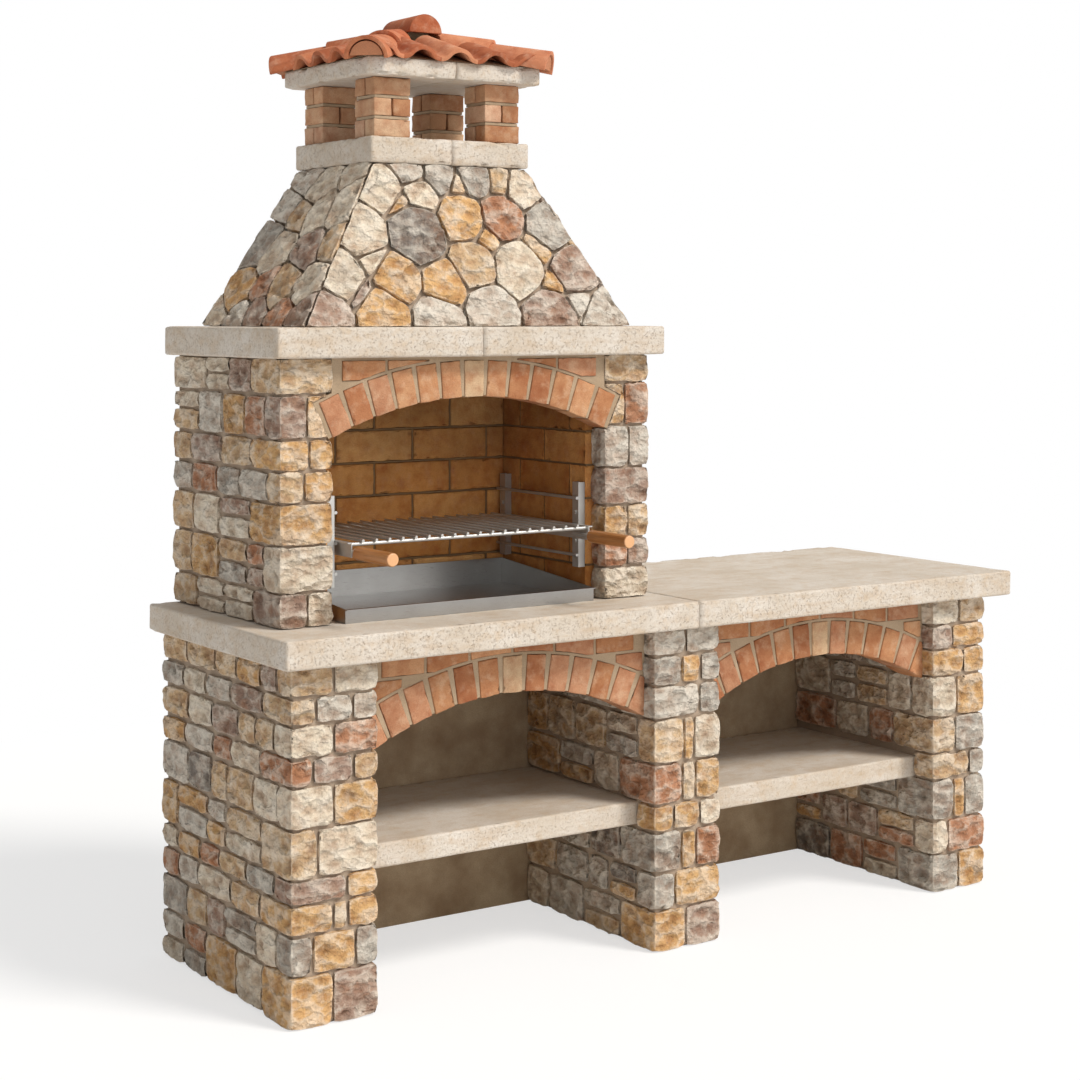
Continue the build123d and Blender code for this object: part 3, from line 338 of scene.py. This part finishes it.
def chips(tree, where, scale, number):
    """Value socket that rises from the hollow of each chip of a split face to the ridges between them."""
    sway_scale, sway_reach, cell_stretch = 1.7, 0.7, (0.75, 0.75, 1.4)
    wander = {"Vector": where, "Scale": scale * sway_scale, "Detail": 5.0}
    wander = add_node(tree, "ShaderNodeTexNoise", wander).outputs["Color"]
    sway = {0: wander, "Scale": sway_reach / scale}
    sway = add_node(tree, "ShaderNodeVectorMath", sway, operation="SCALE").outputs[0]
    moved = add_node(tree, "ShaderNodeVectorMath", {0: where, 1: sway}, operation="ADD").outputs[0]
    apart = add_node(tree, "ShaderNodeVectorMath", {0: moved, 1: number}, operation="ADD").outputs[0]
    wide = add_node(tree, "ShaderNodeMapping", {"Vector": apart, "Scale": cell_stretch}).outputs[0]
    cells = add_node(tree, "ShaderNodeTexVoronoi", {"Vector": wide, "Scale": scale})
    return reckoned(tree, "POWER", cells.outputs["Distance"], 2.0)


def stone_finish(name):
    """Split stone: each in its own tone, stained and gritty, with painted shade in its hollows and painted
    highlights on its ridges and rims.
    """
    made, tree, shader, where = new_material(name)
    tone = piece_attribute(tree, "tone", "Color")
    number = piece_attribute(tree, "number")
    relief_shade = piece_attribute(tree, "relief_shade")
    other = reckoned(tree, "ADD", number, 9.0)
    stains = grain(tree, where, scale=21, detail=6, roughness=0.66, number=number)
    pales = grain(tree, where, scale=30, detail=6, roughness=0.66, number=other)
    mottle = grain(tree, where, scale=85, detail=5, roughness=0.68, number=other)
    grit = grain(tree, where, scale=260, detail=3, roughness=0.6, number=number)
    large_chips = chips(tree, where, 26, number)
    small_chips = chips(tree, where, 64, other)
    stained = blended(tree, 0.5, tone, colour("#A5672F"))
    bleached = blended(tree, 0.6, tone, colour("#F2E8D8"))
    base = blended(tree, spread(tree, stains, 0.46, 0.66, to_high=0.75), tone, stained)
    base = blended(tree, spread(tree, pales, 0.48, 0.64, to_high=0.7), base, bleached)
    base = blended(tree, spread(tree, mottle, 0.3, 0.5, 0.3, 0.0), base, colour("#7C6450"))
    base = blended(tree, spread(tree, grit, 0.3, 0.7, 0.16, 0.0), base, colour("#66543F"))
    # Painted shade and highlight: the large chips' hollows are darkened with a warm brown, their ridges
    # painted pale.
    base = blended(tree, spread(tree, large_chips, 0.02, 0.22, 0.4, 0.0), base, colour("#A67C55"), "MULTIPLY")
    base = blended(tree, spread(tree, large_chips, 0.28, 0.5, to_high=0.35), base, colour("#F0E6D6"))
    # Painted shade in low places of the face, from each vertex's relief, and pale rims: part wear, part
    # painted highlight.
    base = blended(tree, spread(tree, relief_shade, 0.25, 0.45, 0.45, 0.0), base, colour("#8F745B"), "MULTIPLY")
    base = blended(tree, spread(tree, relief_shade, 0.8, 1.0, to_high=0.25), base, colour("#EFE4D2"))
    height = reckoned(tree, "MULTIPLY", mottle, 0.7)
    for texture, share in ((grit, 0.2), (large_chips, 1.9), (small_chips, 0.6)):
        height = reckoned(tree, "ADD", height, reckoned(tree, "MULTIPLY", texture, share))
    finish_surface(tree, shader, base, roughness=0.88, height=height, depth=0.01)
    shader.inputs["Specular IOR Level"].default_value = 0.22
    return made


facing_stone = stone_finish("facing_stone")
stone_tones = {
    "cream": "#E1D2BB",
    "pale": "#D0C7B9",
    "tan": "#D3B48D",
    "honey": "#D6AB75",
    "rust": "#BC8868",
    "grey": "#B0A99E",
    "dark": "#857D75",
    "mauve": "#A98F7F",
}
stone_shares = {"cream": 5, "pale": 3, "tan": 5, "honey": 3, "rust": 2, "grey": 3, "dark": 1, "mauve": 2}


def toned(code, light):
    """Linear colour of a hex code, made lighter or darker."""
    return [part * light for part in colour(code)[:3]] + [1.0]


def near_places(places):
    """Search tree of some places."""
    found = KDTree(len(places))
    for number, place in enumerate(places):
        found.insert(place, number)
    found.balance()
    return found


def closeness(places, place, reach):
    """1 at the nearest of some places, falling smoothly to 0 at a reach from it."""
    return max(0.0, 1.0 - places.find(place)[2] / reach) ** 2


def lumpiness(place, falloff=0.8):
    """Lumpy noise at a place: three layers of it, each half the size of the one before."""
    finer, layers = 2.0, 3
    return noise.fractal(place, falloff, finer, layers)


lean_seed = 7
noise.seed_set(lean_seed)


def scoop_height(place):
    """Height at a place on a split face whose scoops are about 1 across and each lean their own way."""
    lean_apart, step_apart, step, bowl, middle = 5.1, 3.3, 0.7, 0.5, 0.25
    centre = noise.voronoi(place)[1][0]
    away = place - centre
    lean = noise.noise_vector(centre * lean_apart).dot(away)
    return lean + step * noise.noise(centre * step_apart) + bowl * away.length_squared - middle


def lay_stones(node, pick, seed, bright=1.0, mesh_size=0.0105):
    """Stones of a CAD node, split to a rough face. pick gives a stone's tone from its box, or None."""
    arris, light_range, lift_range = 0.007, (0.92, 1.08), (0.0018, 0.0027)
    scoop_size, scoop_depth, scoop_flatness = 0.042, 0.013, 1.4
    lump_size, lump_depth = 0.016, 0.002
    edge_reach, edge_fall, edge_calm = 0.02, 0.001, 0.7
    nick_size, nick_depth, nick_bias = 0.03, 0.0045, 0.05
    corner_reach, corner_fall = 0.025, 0.0065
    deepest, proud = -0.01, 0.005
    level_relief, rim_relief, relief_swing, scoop_relief, lump_relief = 0.5, 1.0, 0.25, 1.5, 0.4
    stone_apart = (3.1, 7.7, 1.3)
    chooser = random.Random(seed)
    bm = merged(node)
    boxes = number_pieces(bm)
    tones, lifts = [], []
    for low, high in boxes:
        word = pick(low, high) or chooser.choices(list(stone_shares), stone_shares.values())[0]
        tones.append(toned(stone_tones[word], bright * chooser.uniform(*light_range)))
        lifts.append(chooser.uniform(*lift_range))
    mark_hidden(bm)
    hidden = bm.faces.layers.int["hidden"]
    bare = [vert for vert in bm.verts if not all(face[hidden] for face in vert.link_faces)]
    stone_corners = near_places([vert.co.copy() for vert in bare])
    rim = bm.faces.layers.int.new("rim")
    for face in soften(bm, arris):
        face[rim] = 1
    refine(bm, mesh_size)
    bm.normal_update()
    layer = bm.faces.layers.int["piece"]
    hidden = bm.faces.layers.int["hidden"]
    worn = [any(face[rim] for face in vert.link_faces) for vert in bm.verts]
    edges = near_places([vert.co.copy() for vert, is_worn in zip(bm.verts, worn) if is_worn])
    # The relief kept for each vertex sets the stone finish's painted shade in low places and painted
    # highlight on rims.
    depths, relief_shades = [], []
    for vert, is_worn in zip(bm.verts, worn):
        number = vert.link_faces[0][layer]
        if not is_worn and all(face[hidden] for face in vert.link_faces):
            depths.append(lifts[number])
            relief_shades.append(level_relief)
            continue
        shift = Vector([number * part for part in stone_apart])
        place = vert.co / scoop_size + shift
        place.z *= scoop_flatness
        scoop = scoop_height(place)
        lump = lumpiness(vert.co / lump_size + shift)
        edge_share = closeness(edges, vert.co, edge_reach)
        corner_share = closeness(stone_corners, vert.co, corner_reach)
        nick = nick_depth * max(0.0, noise.noise(vert.co / nick_size + shift) + nick_bias)
        broken = (scoop * scoop_depth + lump * lump_depth) * (1.0 - edge_calm * edge_share)
        broken -= edge_share * (edge_fall + nick) + corner_share * corner_fall
        depths.append(max(deepest, min(broken + lifts[number], proud)))
        hollow = max(-1.0, min(1.0, scoop_relief * scoop + lump_relief * lump))
        relief_shades.append(rim_relief if is_worn else level_relief + relief_swing * hollow)
    push_out(bm, depths)
    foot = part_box(node)[0].z
    for vert in bm.verts:
        vert.co.z = max(vert.co.z, foot)
    place_piece(node + "_split", bm, facing_stone, node, 25, tones, relief_shades)


def course_picker(node, courses):
    """Picks each front stone's tone, from words for each course from the top and, in it, from the left."""
    same_face, decimals = 0.002, 3
    bm = merged(node)
    boxes = number_pieces(bm)
    bm.free()
    front = min(low.y for low, high in boxes) + same_face
    rows = {}
    for low, high in boxes:
        if low.y < front:
            rows.setdefault(round(low.z, decimals), []).append(low.x)
    tones = {}
    for level, words in zip(sorted(rows, reverse=True), courses):
        for left, word in zip(sorted(rows[level]), words.split()):
            tones[(level, round(left, decimals))] = word

    def pick(low, high):
        """Word for the tone of a front stone, or None for any other stone."""
        corner = (round(low.z, decimals), round(low.x, decimals))
        return tones.get(corner) if low.y < front else None

    return pick


pier_tones = {
    "left_pier_stones": [
        "tan cream", "tan pale pale", "cream rust", "rust mauve tan", "cream honey", "tan cream",
        "mauve honey", "honey tan honey", "grey honey grey", "honey mauve",
    ],
    "middle_pier_stones": [
        "pale pale", "grey honey grey", "pale grey", "tan honey cream", "rust tan honey", "honey honey cream",
        "grey honey rust", "grey honey", "honey mauve",
    ],
    "right_pier_stones": [
        "cream tan", "mauve honey", "honey honey", "cream honey", "tan grey", "tan grey", "grey honey grey",
        "cream rust", "grey honey",
    ],
}
for seed, (node, courses) in enumerate(pier_tones.items()):
    lay_stones(node, course_picker(node, courses), seed, mesh_size=0.014)


# Pointing: mortar pressed into the joints between the pier stones and tooled back behind their faces. Each
# pier has one block of it, which the stones cover but for the joints.
def point_joints(node):
    """Mortar behind the faces of a CAD node's stones: a block inside their box with a hand-tooled face."""
    depth, foot, corner_round = 0.0095, 0.001, 0.004
    tool_step, tool_size, tool_depth = 0.03, 0.05, 0.0024
    low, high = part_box(node)
    bm = bmesh.new()
    bmesh.ops.create_cube(bm, size=1.0)
    for vert in bm.verts:
        vert.co.x = low.x + depth if vert.co.x < 0 else high.x - depth
        vert.co.y = low.y + depth if vert.co.y < 0 else high.y - depth
        vert.co.z = low.z + foot if vert.co.z < 0 else high.z - foot
    soften(bm, corner_round)
    refine(bm, tool_step)
    bm.normal_update()
    for vert in bm.verts:
        move = vert.normal * tool_depth * noise.noise(vert.co / tool_size)
        vert.co.xy += move.xy
    for face in bm.faces:
        face.smooth = True
    mesh = bpy.data.meshes.new(node + "_pointing")
    bm.to_mesh(mesh)
    bm.free()
    mesh.materials.append(core_mortar)
    pointing = bpy.data.objects.new(node + "_pointing", mesh)
    scene.collection.objects.link(pointing)
    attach(pointing, "masonry")


for node in pier_tones:
    point_joints(node)


# Bay backs: block walls that close the two storage bays behind the shelves. They stand between the piers and
# are trowelled with a beige lime render.
bay_render = mortar_finish("bay_render", "#BFA98B", "#92785C")
for node in ("left_bay_back", "right_bay_back"):
    dress(node, bay_render)


# Shelves: cast-stone slabs let into slots in the piers and resting on the bay backs. The pale face is closed
# on top, and pitted along the edges, which are worn round.
def facing(tree, axis):
    """Value socket of how far a surface faces along an axis, either way."""
    normal = add_node(tree, "ShaderNodeNewGeometry").outputs["Normal"]
    parts = add_node(tree, "ShaderNodeSeparateXYZ", {0: normal})
    return add_node(tree, "ShaderNodeMath", {0: parts.outputs[axis]}, operation="ABSOLUTE").outputs[0]


def cast_stone_finish(name):
    """Pale cast stone: cloudy, with soft veins along its length and brown pits mostly on the edges."""
    vein_stretch = (0.35, 1.0, 1.6)
    made, tree, shader, where = new_material(name)
    long_way = add_node(tree, "ShaderNodeMapping", {"Vector": where, "Scale": vein_stretch}).outputs[0]
    clouds = grain(tree, where, scale=7, detail=5)
    patches = grain(tree, where, scale=38, detail=6, roughness=0.68)
    veins = grain(tree, long_way, scale=24, detail=7, roughness=0.68)
    fine = grain(tree, where, scale=240, detail=4, roughness=0.65)
    pits = grain(tree, where, scale=190, detail=4, roughness=0.7)
    edge_share = spread(tree, facing(tree, "Z"), 0.5, 0.9, 1.0, 0.4)
    pits = reckoned(tree, "MULTIPLY", spread(tree, pits, 0.54, 0.72, to_high=0.6), edge_share)
    base = blended(tree, spread(tree, clouds, 0.35, 0.68), colour("#C8BCAC"), colour("#D9D1C6"))
    base = blended(tree, spread(tree, patches, 0.5, 0.66, to_high=0.4), base, colour("#C2A37C"))
    base = blended(tree, spread(tree, veins, 0.48, 0.66, to_high=0.6), base, colour("#BCA68D"))
    base = blended(tree, pits, base, colour("#94765A"))
    base = blended(tree, spread(tree, fine, 0.3, 0.65, 0.3, 0.0), base, colour("#A08A70"))
    height = reckoned(tree, "SUBTRACT", reckoned(tree, "MULTIPLY", fine, 0.3), pits)
    finish_surface(tree, shader, base, roughness=0.74, height=height, depth=0.0022)
    shader.inputs["Specular IOR Level"].default_value = 0.3
    return made


cast_stone = cast_stone_finish("cast_stone")


def cast_slab(node):
    """Slabs of a CAD node with worn edges, chipped here and there, and faces a little uneven."""
    edge_wear, mesh_size, upright = 0.006, 0.024, 0.5
    chip_size, chip_depth, chip_rarity = 0.024, 0.011, 0.12
    wave_size, wave_depth, wave_falloff, wave_middle = 0.06, 0.0007, 0.9, 0.5
    bm = merged(node)
    number_pieces(bm)
    mark_hidden(bm)
    hidden = bm.faces.layers.int["hidden"]
    for face in bm.faces:
        face[hidden] = face[hidden] and abs(face.normal.z) < upright
    rim = bm.faces.layers.int.new("rim")
    for face in soften(bm, edge_wear, covered=1):
        face[rim] = 1
    refine(bm, mesh_size)
    bm.normal_update()
    depths = []
    for vert in bm.verts:
        depth = wave_depth * (lumpiness(vert.co / wave_size, wave_falloff) - wave_middle)
        if any(face[rim] for face in vert.link_faces):
            depth -= chip_depth * max(0.0, noise.noise(vert.co / chip_size) - chip_rarity)
        depths.append(depth)
    push_out(bm, depths)
    place_piece(node + "_worn", bm, cast_stone, node, 35)


for node in ("left_shelf", "right_shelf"):
    cast_slab(node)


# Bay arches: a ring of sand-faced bricks on edge over each bay, closed by a cast keystone, with cut bricks
# above it up to the worktop. All of it is bedded in a mortar panel, which shows in the joints.
def brick_finish(name, hazed=0.5, soot_from=None):
    """Fired brick: each in its own tone, blotched and sandy. Soot, where there is any, thickens upwards."""
    soot_rise, soot_share, soot_drift = 0.42, 0.55, 0.14
    made, tree, shader, where = new_material(name)
    tone = piece_attribute(tree, "tone", "Color")
    number = piece_attribute(tree, "number")
    other = reckoned(tree, "ADD", number, 5.0)
    blotches = grain(tree, where, scale=26, detail=5, roughness=0.6, number=number)
    haze = grain(tree, where, scale=34, detail=5, roughness=0.6, number=other)
    pores = grain(tree, where, scale=90, detail=5, roughness=0.65, number=number)
    sand = grain(tree, where, scale=330, detail=3, roughness=0.6)
    darker = blended(tree, 1.0, tone, colour("#C99A80"), "MULTIPLY")
    base = blended(tree, spread(tree, blotches, 0.42, 0.72, to_high=0.7), tone, darker)
    base = blended(tree, spread(tree, haze, 0.5, 0.75, to_high=hazed), base, colour("#DDBF9F"))
    base = blended(tree, spread(tree, sand, 0.3, 0.7, 0.3, 0.0), base, colour("#6B452E"))
    if soot_from is not None:
        height = add_node(tree, "ShaderNodeSeparateXYZ", {0: where}).outputs["Z"]
        drift = spread(tree, grain(tree, where, scale=5), 0.3, 0.7, -soot_drift, soot_drift)
        height = reckoned(tree, "ADD", height, drift)
        soot = spread(tree, height, soot_from, soot_from + soot_rise, to_high=soot_share)
        base = blended(tree, soot, base, colour("#3A2A1E"))
    rough = reckoned(tree, "ADD", pores, reckoned(tree, "MULTIPLY", sand, 0.4))
    finish_surface(tree, shader, base, roughness=0.9, height=rough, depth=0.0028)
    shader.inputs["Specular IOR Level"].default_value = 0.2
    return made


def mixed_tones(count, codes, seed):
    """Tone for each of a number of pieces: one of some colours, a little lighter or darker."""
    chooser = random.Random(seed)
    tones = []
    for _ in range(count):
        light = chooser.uniform(0.9, 1.08)
        tones.append(toned(chooser.choice(codes), light))
    return tones


def lay_bricks(node, codes, material, seed):
    """Bricks of a CAD node with soft arrises and a rough face, each in one of some colours."""
    arris, mesh_size, brick_apart = 0.003, 0.016, 2.3
    rough_size, rough_depth, rough_middle = 0.03, 0.0016, 0.6
    bm = merged(node)
    tones = mixed_tones(len(number_pieces(bm)), codes, seed)
    soften(bm, arris)
    refine(bm, mesh_size)
    bm.normal_update()
    layer = bm.faces.layers.int["piece"]
    depths = []
    for vert in bm.verts:
        shift = Vector((vert.link_faces[0][layer] * brick_apart, 0.0, 0.0))
        depths.append(rough_depth * (lumpiness(vert.co / rough_size + shift) - rough_middle))
    push_out(bm, depths)
    place_piece(node + "_fired", bm, material, node, 35, tones)


arch_colours = ("#BE8A62", "#B57F58", "#C8976F", "#AC7450", "#C08D6B")
keystone_colours = ("#CDAE8A",)
arch_brick = brick_finish("arch_brick")
joint_mortar = mortar_finish("joint_mortar", "#BDA589", "#A38C71")


def dress_arch(opening, seed):
    """Bricks, keystone, spandrel and mortar of one arch."""
    lay_bricks(opening + "_arch_bricks", arch_colours, arch_brick, seed)
    lay_bricks(opening + "_arch_spandrel", arch_colours, arch_brick, seed + 1)
    lay_bricks(opening + "_arch_keystone", keystone_colours, arch_brick, seed + 2)
    dress(opening + "_arch_mortar", joint_mortar)


dress_arch("left", 11)
dress_arch("right", 21)


# Worktop: two long slabs of the same cast stone, bedded on the piers and the arches. They meet over the
# middle pier and stand out past the piers all round.
for node in ("worktop_left", "worktop_right"):
    cast_slab(node)


# Firebox walls: block walls on the worktop round the fire, faced with the same split stone on both sides and
# on the two front pillars, and pointed in the same way. The back stays plain.
for node in ("firebox_left_wall", "firebox_right_wall", "firebox_back_wall"):
    dress(node, core_mortar)

pillar_tones = {
    "firebox_left_stones": [
        "tan", "mauve honey", "honey honey", "tan honey", "honey", "cream", "mauve cream",
    ],
    "firebox_right_stones": [
        "tan", "honey rust", "pale pale", "mauve", "honey tan", "rust mauve", "cream",
    ],
}
for seed, (node, courses) in enumerate(pillar_tones.items(), 31):
    lay_stones(node, course_picker(node, courses), seed)
    point_joints(node)


# Fire lining: buff firebricks laid flat round three sides of the fire, with tight joints of fire mortar. The
# smoke has darkened them towards the top.
lining_colours = ("#DB9E5C", "#CF9050", "#E2AB6B", "#C78848", "#D69858")
soot_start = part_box("lining_back")[0].z + 0.26
firebrick = brick_finish("firebrick", hazed=0.15, soot_from=soot_start)
for seed, node in enumerate(("lining_left", "lining_right", "lining_back"), 41):
    lay_bricks(node, lining_colours, firebrick, seed)
lining_mortar = mortar_finish("lining_mortar", "#8A6C48", "#6E5538")
dress("lining_mortar", lining_mortar)


# Fire arch: the same ring of sand-faced bricks on edge, with its keystone and cut bricks, over the mouth of
# the firebox. It springs from the front pillars and is bedded in its own mortar panel.
dress_arch("fire", 51)


# Mantle: two cast-stone slabs that cap the firebox, cut out round the flue. They lie on the walls and on the
# fire arch, and carry the hood.
cast_slab("mantle_slabs")


# Hood: four sloping panels that gather the smoke into the chimney, each crazy-paved with split stone. The
# front stones follow the photograph's tones, by their place across and up the panel.
hood_tones = [
    (0.11, 0.82, "cream"), (0.24, 0.94, "pale"), (0.42, 0.92, "grey"), (0.53, 0.87, "tan"),
    (0.64, 0.91, "grey"), (0.79, 0.90, "tan"), (0.90, 0.86, "cream"), (0.31, 0.80, "cream"),
    (0.31, 0.56, "dark"), (0.52, 0.66, "honey"), (0.71, 0.67, "rust"), (0.92, 0.62, "grey"),
    (0.08, 0.56, "cream"), (0.53, 0.40, "tan"), (0.70, 0.37, "cream"), (0.92, 0.37, "mauve"),
    (0.05, 0.32, "cream"), (0.25, 0.31, "honey"), (0.41, 0.28, "honey"), (0.05, 0.11, "mauve"),
    (0.22, 0.11, "honey"), (0.39, 0.08, "pale"), (0.56, 0.12, "pale"), (0.75, 0.11, "mauve"),
    (0.94, 0.10, "pale"),
]
panel_low, panel_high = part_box("hood_front_panel")
collar_low, collar_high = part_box("collar_slabs")
for node in ("hood_front_panel", "hood_right_panel", "hood_back_panel", "hood_left_panel"):
    dress(node, core_mortar)


def hood_tone(low, high):
    """Tone of a hood front stone, from the nearest place that has one."""
    near_enough, elsewhere = 0.12, "honey"
    centre = (low + high) / 2
    up = (centre.z - panel_low.z) / (panel_high.z - panel_low.z)
    half = (panel_high.x - panel_low.x) / 2 * (1 - up) + (collar_high.x - collar_low.x) / 2 * up
    across = 0.5 + (centre.x - (panel_low.x + panel_high.x) / 2) / (2 * half)
    nearest = min(hood_tones, key=lambda tone: math.hypot(tone[0] - across, tone[1] - up))
    gap = math.hypot(nearest[0] - across, nearest[1] - up)
    return nearest[2] if gap < near_enough else elsewhere


hood_bright = 1.14
lay_stones("hood_front_stones", hood_tone, 61, hood_bright)
for seed, node in enumerate(("hood_right_stones", "hood_back_stones", "hood_left_stones"), 62):
    lay_stones(node, lambda low, high: None, seed, hood_bright)


# Chimney: a cast-stone collar bedded on the hood, four pillars of clay brick that leave the smoke holes open
# between them, and a cast-stone cap over the pillars.
cast_slab("collar_slabs")
chimney_colours = ("#CFA480", "#C39672", "#D9B592", "#B98863", "#D2AC8E")
lay_bricks("chimney_bricks", chimney_colours, arch_brick, 71)
dress("chimney_joints", joint_mortar)
cast_slab("cap_slabs")


# Roof: wavy clay tiles bedded in mortar on the cap, with half-round hip tiles over the corners and a ridge
# cap on top. The ends of the hip tiles are plugged with mortar that brick dust has coloured.
def tile_finish(name):
    """Terracotta: each tile in its own tone, with darker firing marks and a thin lime bloom."""
    made, tree, shader, where = new_material(name)
    tone = piece_attribute(tree, "tone", "Color")
    number = piece_attribute(tree, "number")
    other = reckoned(tree, "ADD", number, 3.0)
    marks = grain(tree, where, scale=22, detail=5, roughness=0.6, number=number)
    bloom = grain(tree, where, scale=30, detail=6, roughness=0.65, number=other)
    waves = grain(tree, where, scale=60, detail=5, roughness=0.6, number=number)
    fine = grain(tree, where, scale=300, detail=3, roughness=0.6)
    darker = blended(tree, 1.0, tone, colour("#C08D78"), "MULTIPLY")
    base = blended(tree, spread(tree, marks, 0.45, 0.72, to_high=0.65), tone, darker)
    base = blended(tree, spread(tree, bloom, 0.5, 0.76, to_high=0.5), base, colour("#DFB597"))
    base = blended(tree, spread(tree, fine, 0.3, 0.7, 0.2, 0.0), base, colour("#6E3A24"))
    height = reckoned(tree, "ADD", waves, reckoned(tree, "MULTIPLY", fine, 0.3))
    finish_surface(tree, shader, base, roughness=0.84, height=height, depth=0.0016)
    shader.inputs["Specular IOR Level"].default_value = 0.25
    return made


clay_tile = tile_finish("clay_tile")
tile_colours = ("#C67C56", "#BA6D49", "#CF8B66", "#B06643", "#CB8460")
tile_edge = 0.0015
for seed, node in enumerate(("roof_tiles", "hip_tiles", "ridge_cap"), 81):
    bm = merged(node)
    tones = mixed_tones(len(number_pieces(bm)), tile_colours, seed)
    soften(bm, tile_edge, corner=45)
    place_piece(node + "_clay", bm, clay_tile, node, 35, tones)
dress("roof_bed", joint_mortar)
clay_mortar = mortar_finish("clay_mortar", "#C8845F", "#B27350")
dress("hip_mortar", clay_mortar)


# Fire tray: a shallow tray folded from stainless sheet, which lies loose on the worktop and holds the
# embers. It pulls out to the front.
def steel_finish(name, code, roughness, way, metallic=1.0):
    """Brushed steel, a little clouded, whose scratches run along a way, the stretch of each axis."""
    smoother, rougher = 0.04, 0.05
    made, tree, shader, where = new_material(name)
    along = add_node(tree, "ShaderNodeMapping", {"Vector": where, "Scale": way}).outputs[0]
    brushed = grain(tree, along, scale=1500, detail=3, roughness=0.6)
    clouded = spread(tree, grain(tree, where, scale=9), 0.35, 0.7, to_high=0.22)
    base = blended(tree, clouded, colour(code), colour("#6F675F"))
    worn = spread(tree, brushed, 0.3, 0.7, roughness - smoother, roughness + rougher)
    shader.inputs["Metallic"].default_value = metallic
    finish_surface(tree, shader, base, roughness=worn, height=brushed, depth=0.00002)
    return made


tray_steel = steel_finish("tray_steel", "#A9A8A6", roughness=0.3, way=(0.02, 1.0, 1.0))
dress("fire_tray", tray_steel)


# Grill rack: two galvanised steel uprights on each side of the fire, held to the lining by anchors, with
# three pairs of rods on which the grill hangs at three heights.
rack_steel = steel_finish("rack_steel", "#C2C0BC", roughness=0.42, way=(1.0, 1.0, 0.03), metallic=0.7)
for node in ("rack_uprights", "rack_anchors", "rack_rods"):
    dress(node, rack_steel)


# Grill: side rails and cross rods welded to a row of round bars, with two handle rods to the front. The
# rails slide along the rack's rods.
bar_steel = steel_finish("bar_steel", "#C4C1BC", roughness=0.4, way=(1.0, 0.03, 1.0), metallic=0.7)
dress("grill_rails", rack_steel)
for node in ("grill_cross_rods", "grill_bars", "handle_rods"):
    dress(node, bar_steel)


# Handle grips: turned wooden grips, varnished, pushed on the handle rods. The grain runs along the grip, and
# the ends show paler end grain.
grain_stretch = (1.0, 0.05, 1.0)
grip_wood, tree, shader, where = new_material("grip_wood")
along = add_node(tree, "ShaderNodeMapping", {"Vector": where, "Scale": grain_stretch}).outputs[0]
streaks = spread(tree, grain(tree, along, scale=240, detail=5, roughness=0.62), 0.32, 0.7)
figure = spread(tree, grain(tree, along, scale=70, detail=4, roughness=0.6), 0.35, 0.7, to_high=0.6)
end_grain = spread(tree, facing(tree, "Y"), 0.6, 0.9, to_high=0.85)
base = blended(tree, streaks, colour("#8A552C"), colour("#C68B52"))
base = blended(tree, figure, base, colour("#A96D3B"))
base = blended(tree, end_grain, base, colour("#E0AA78"))
finish_surface(tree, shader, base, roughness=0.38, height=streaks, depth=0.0004)
shader.inputs["Coat Weight"].default_value = 0.25
dress("handle_grips", grip_wood)
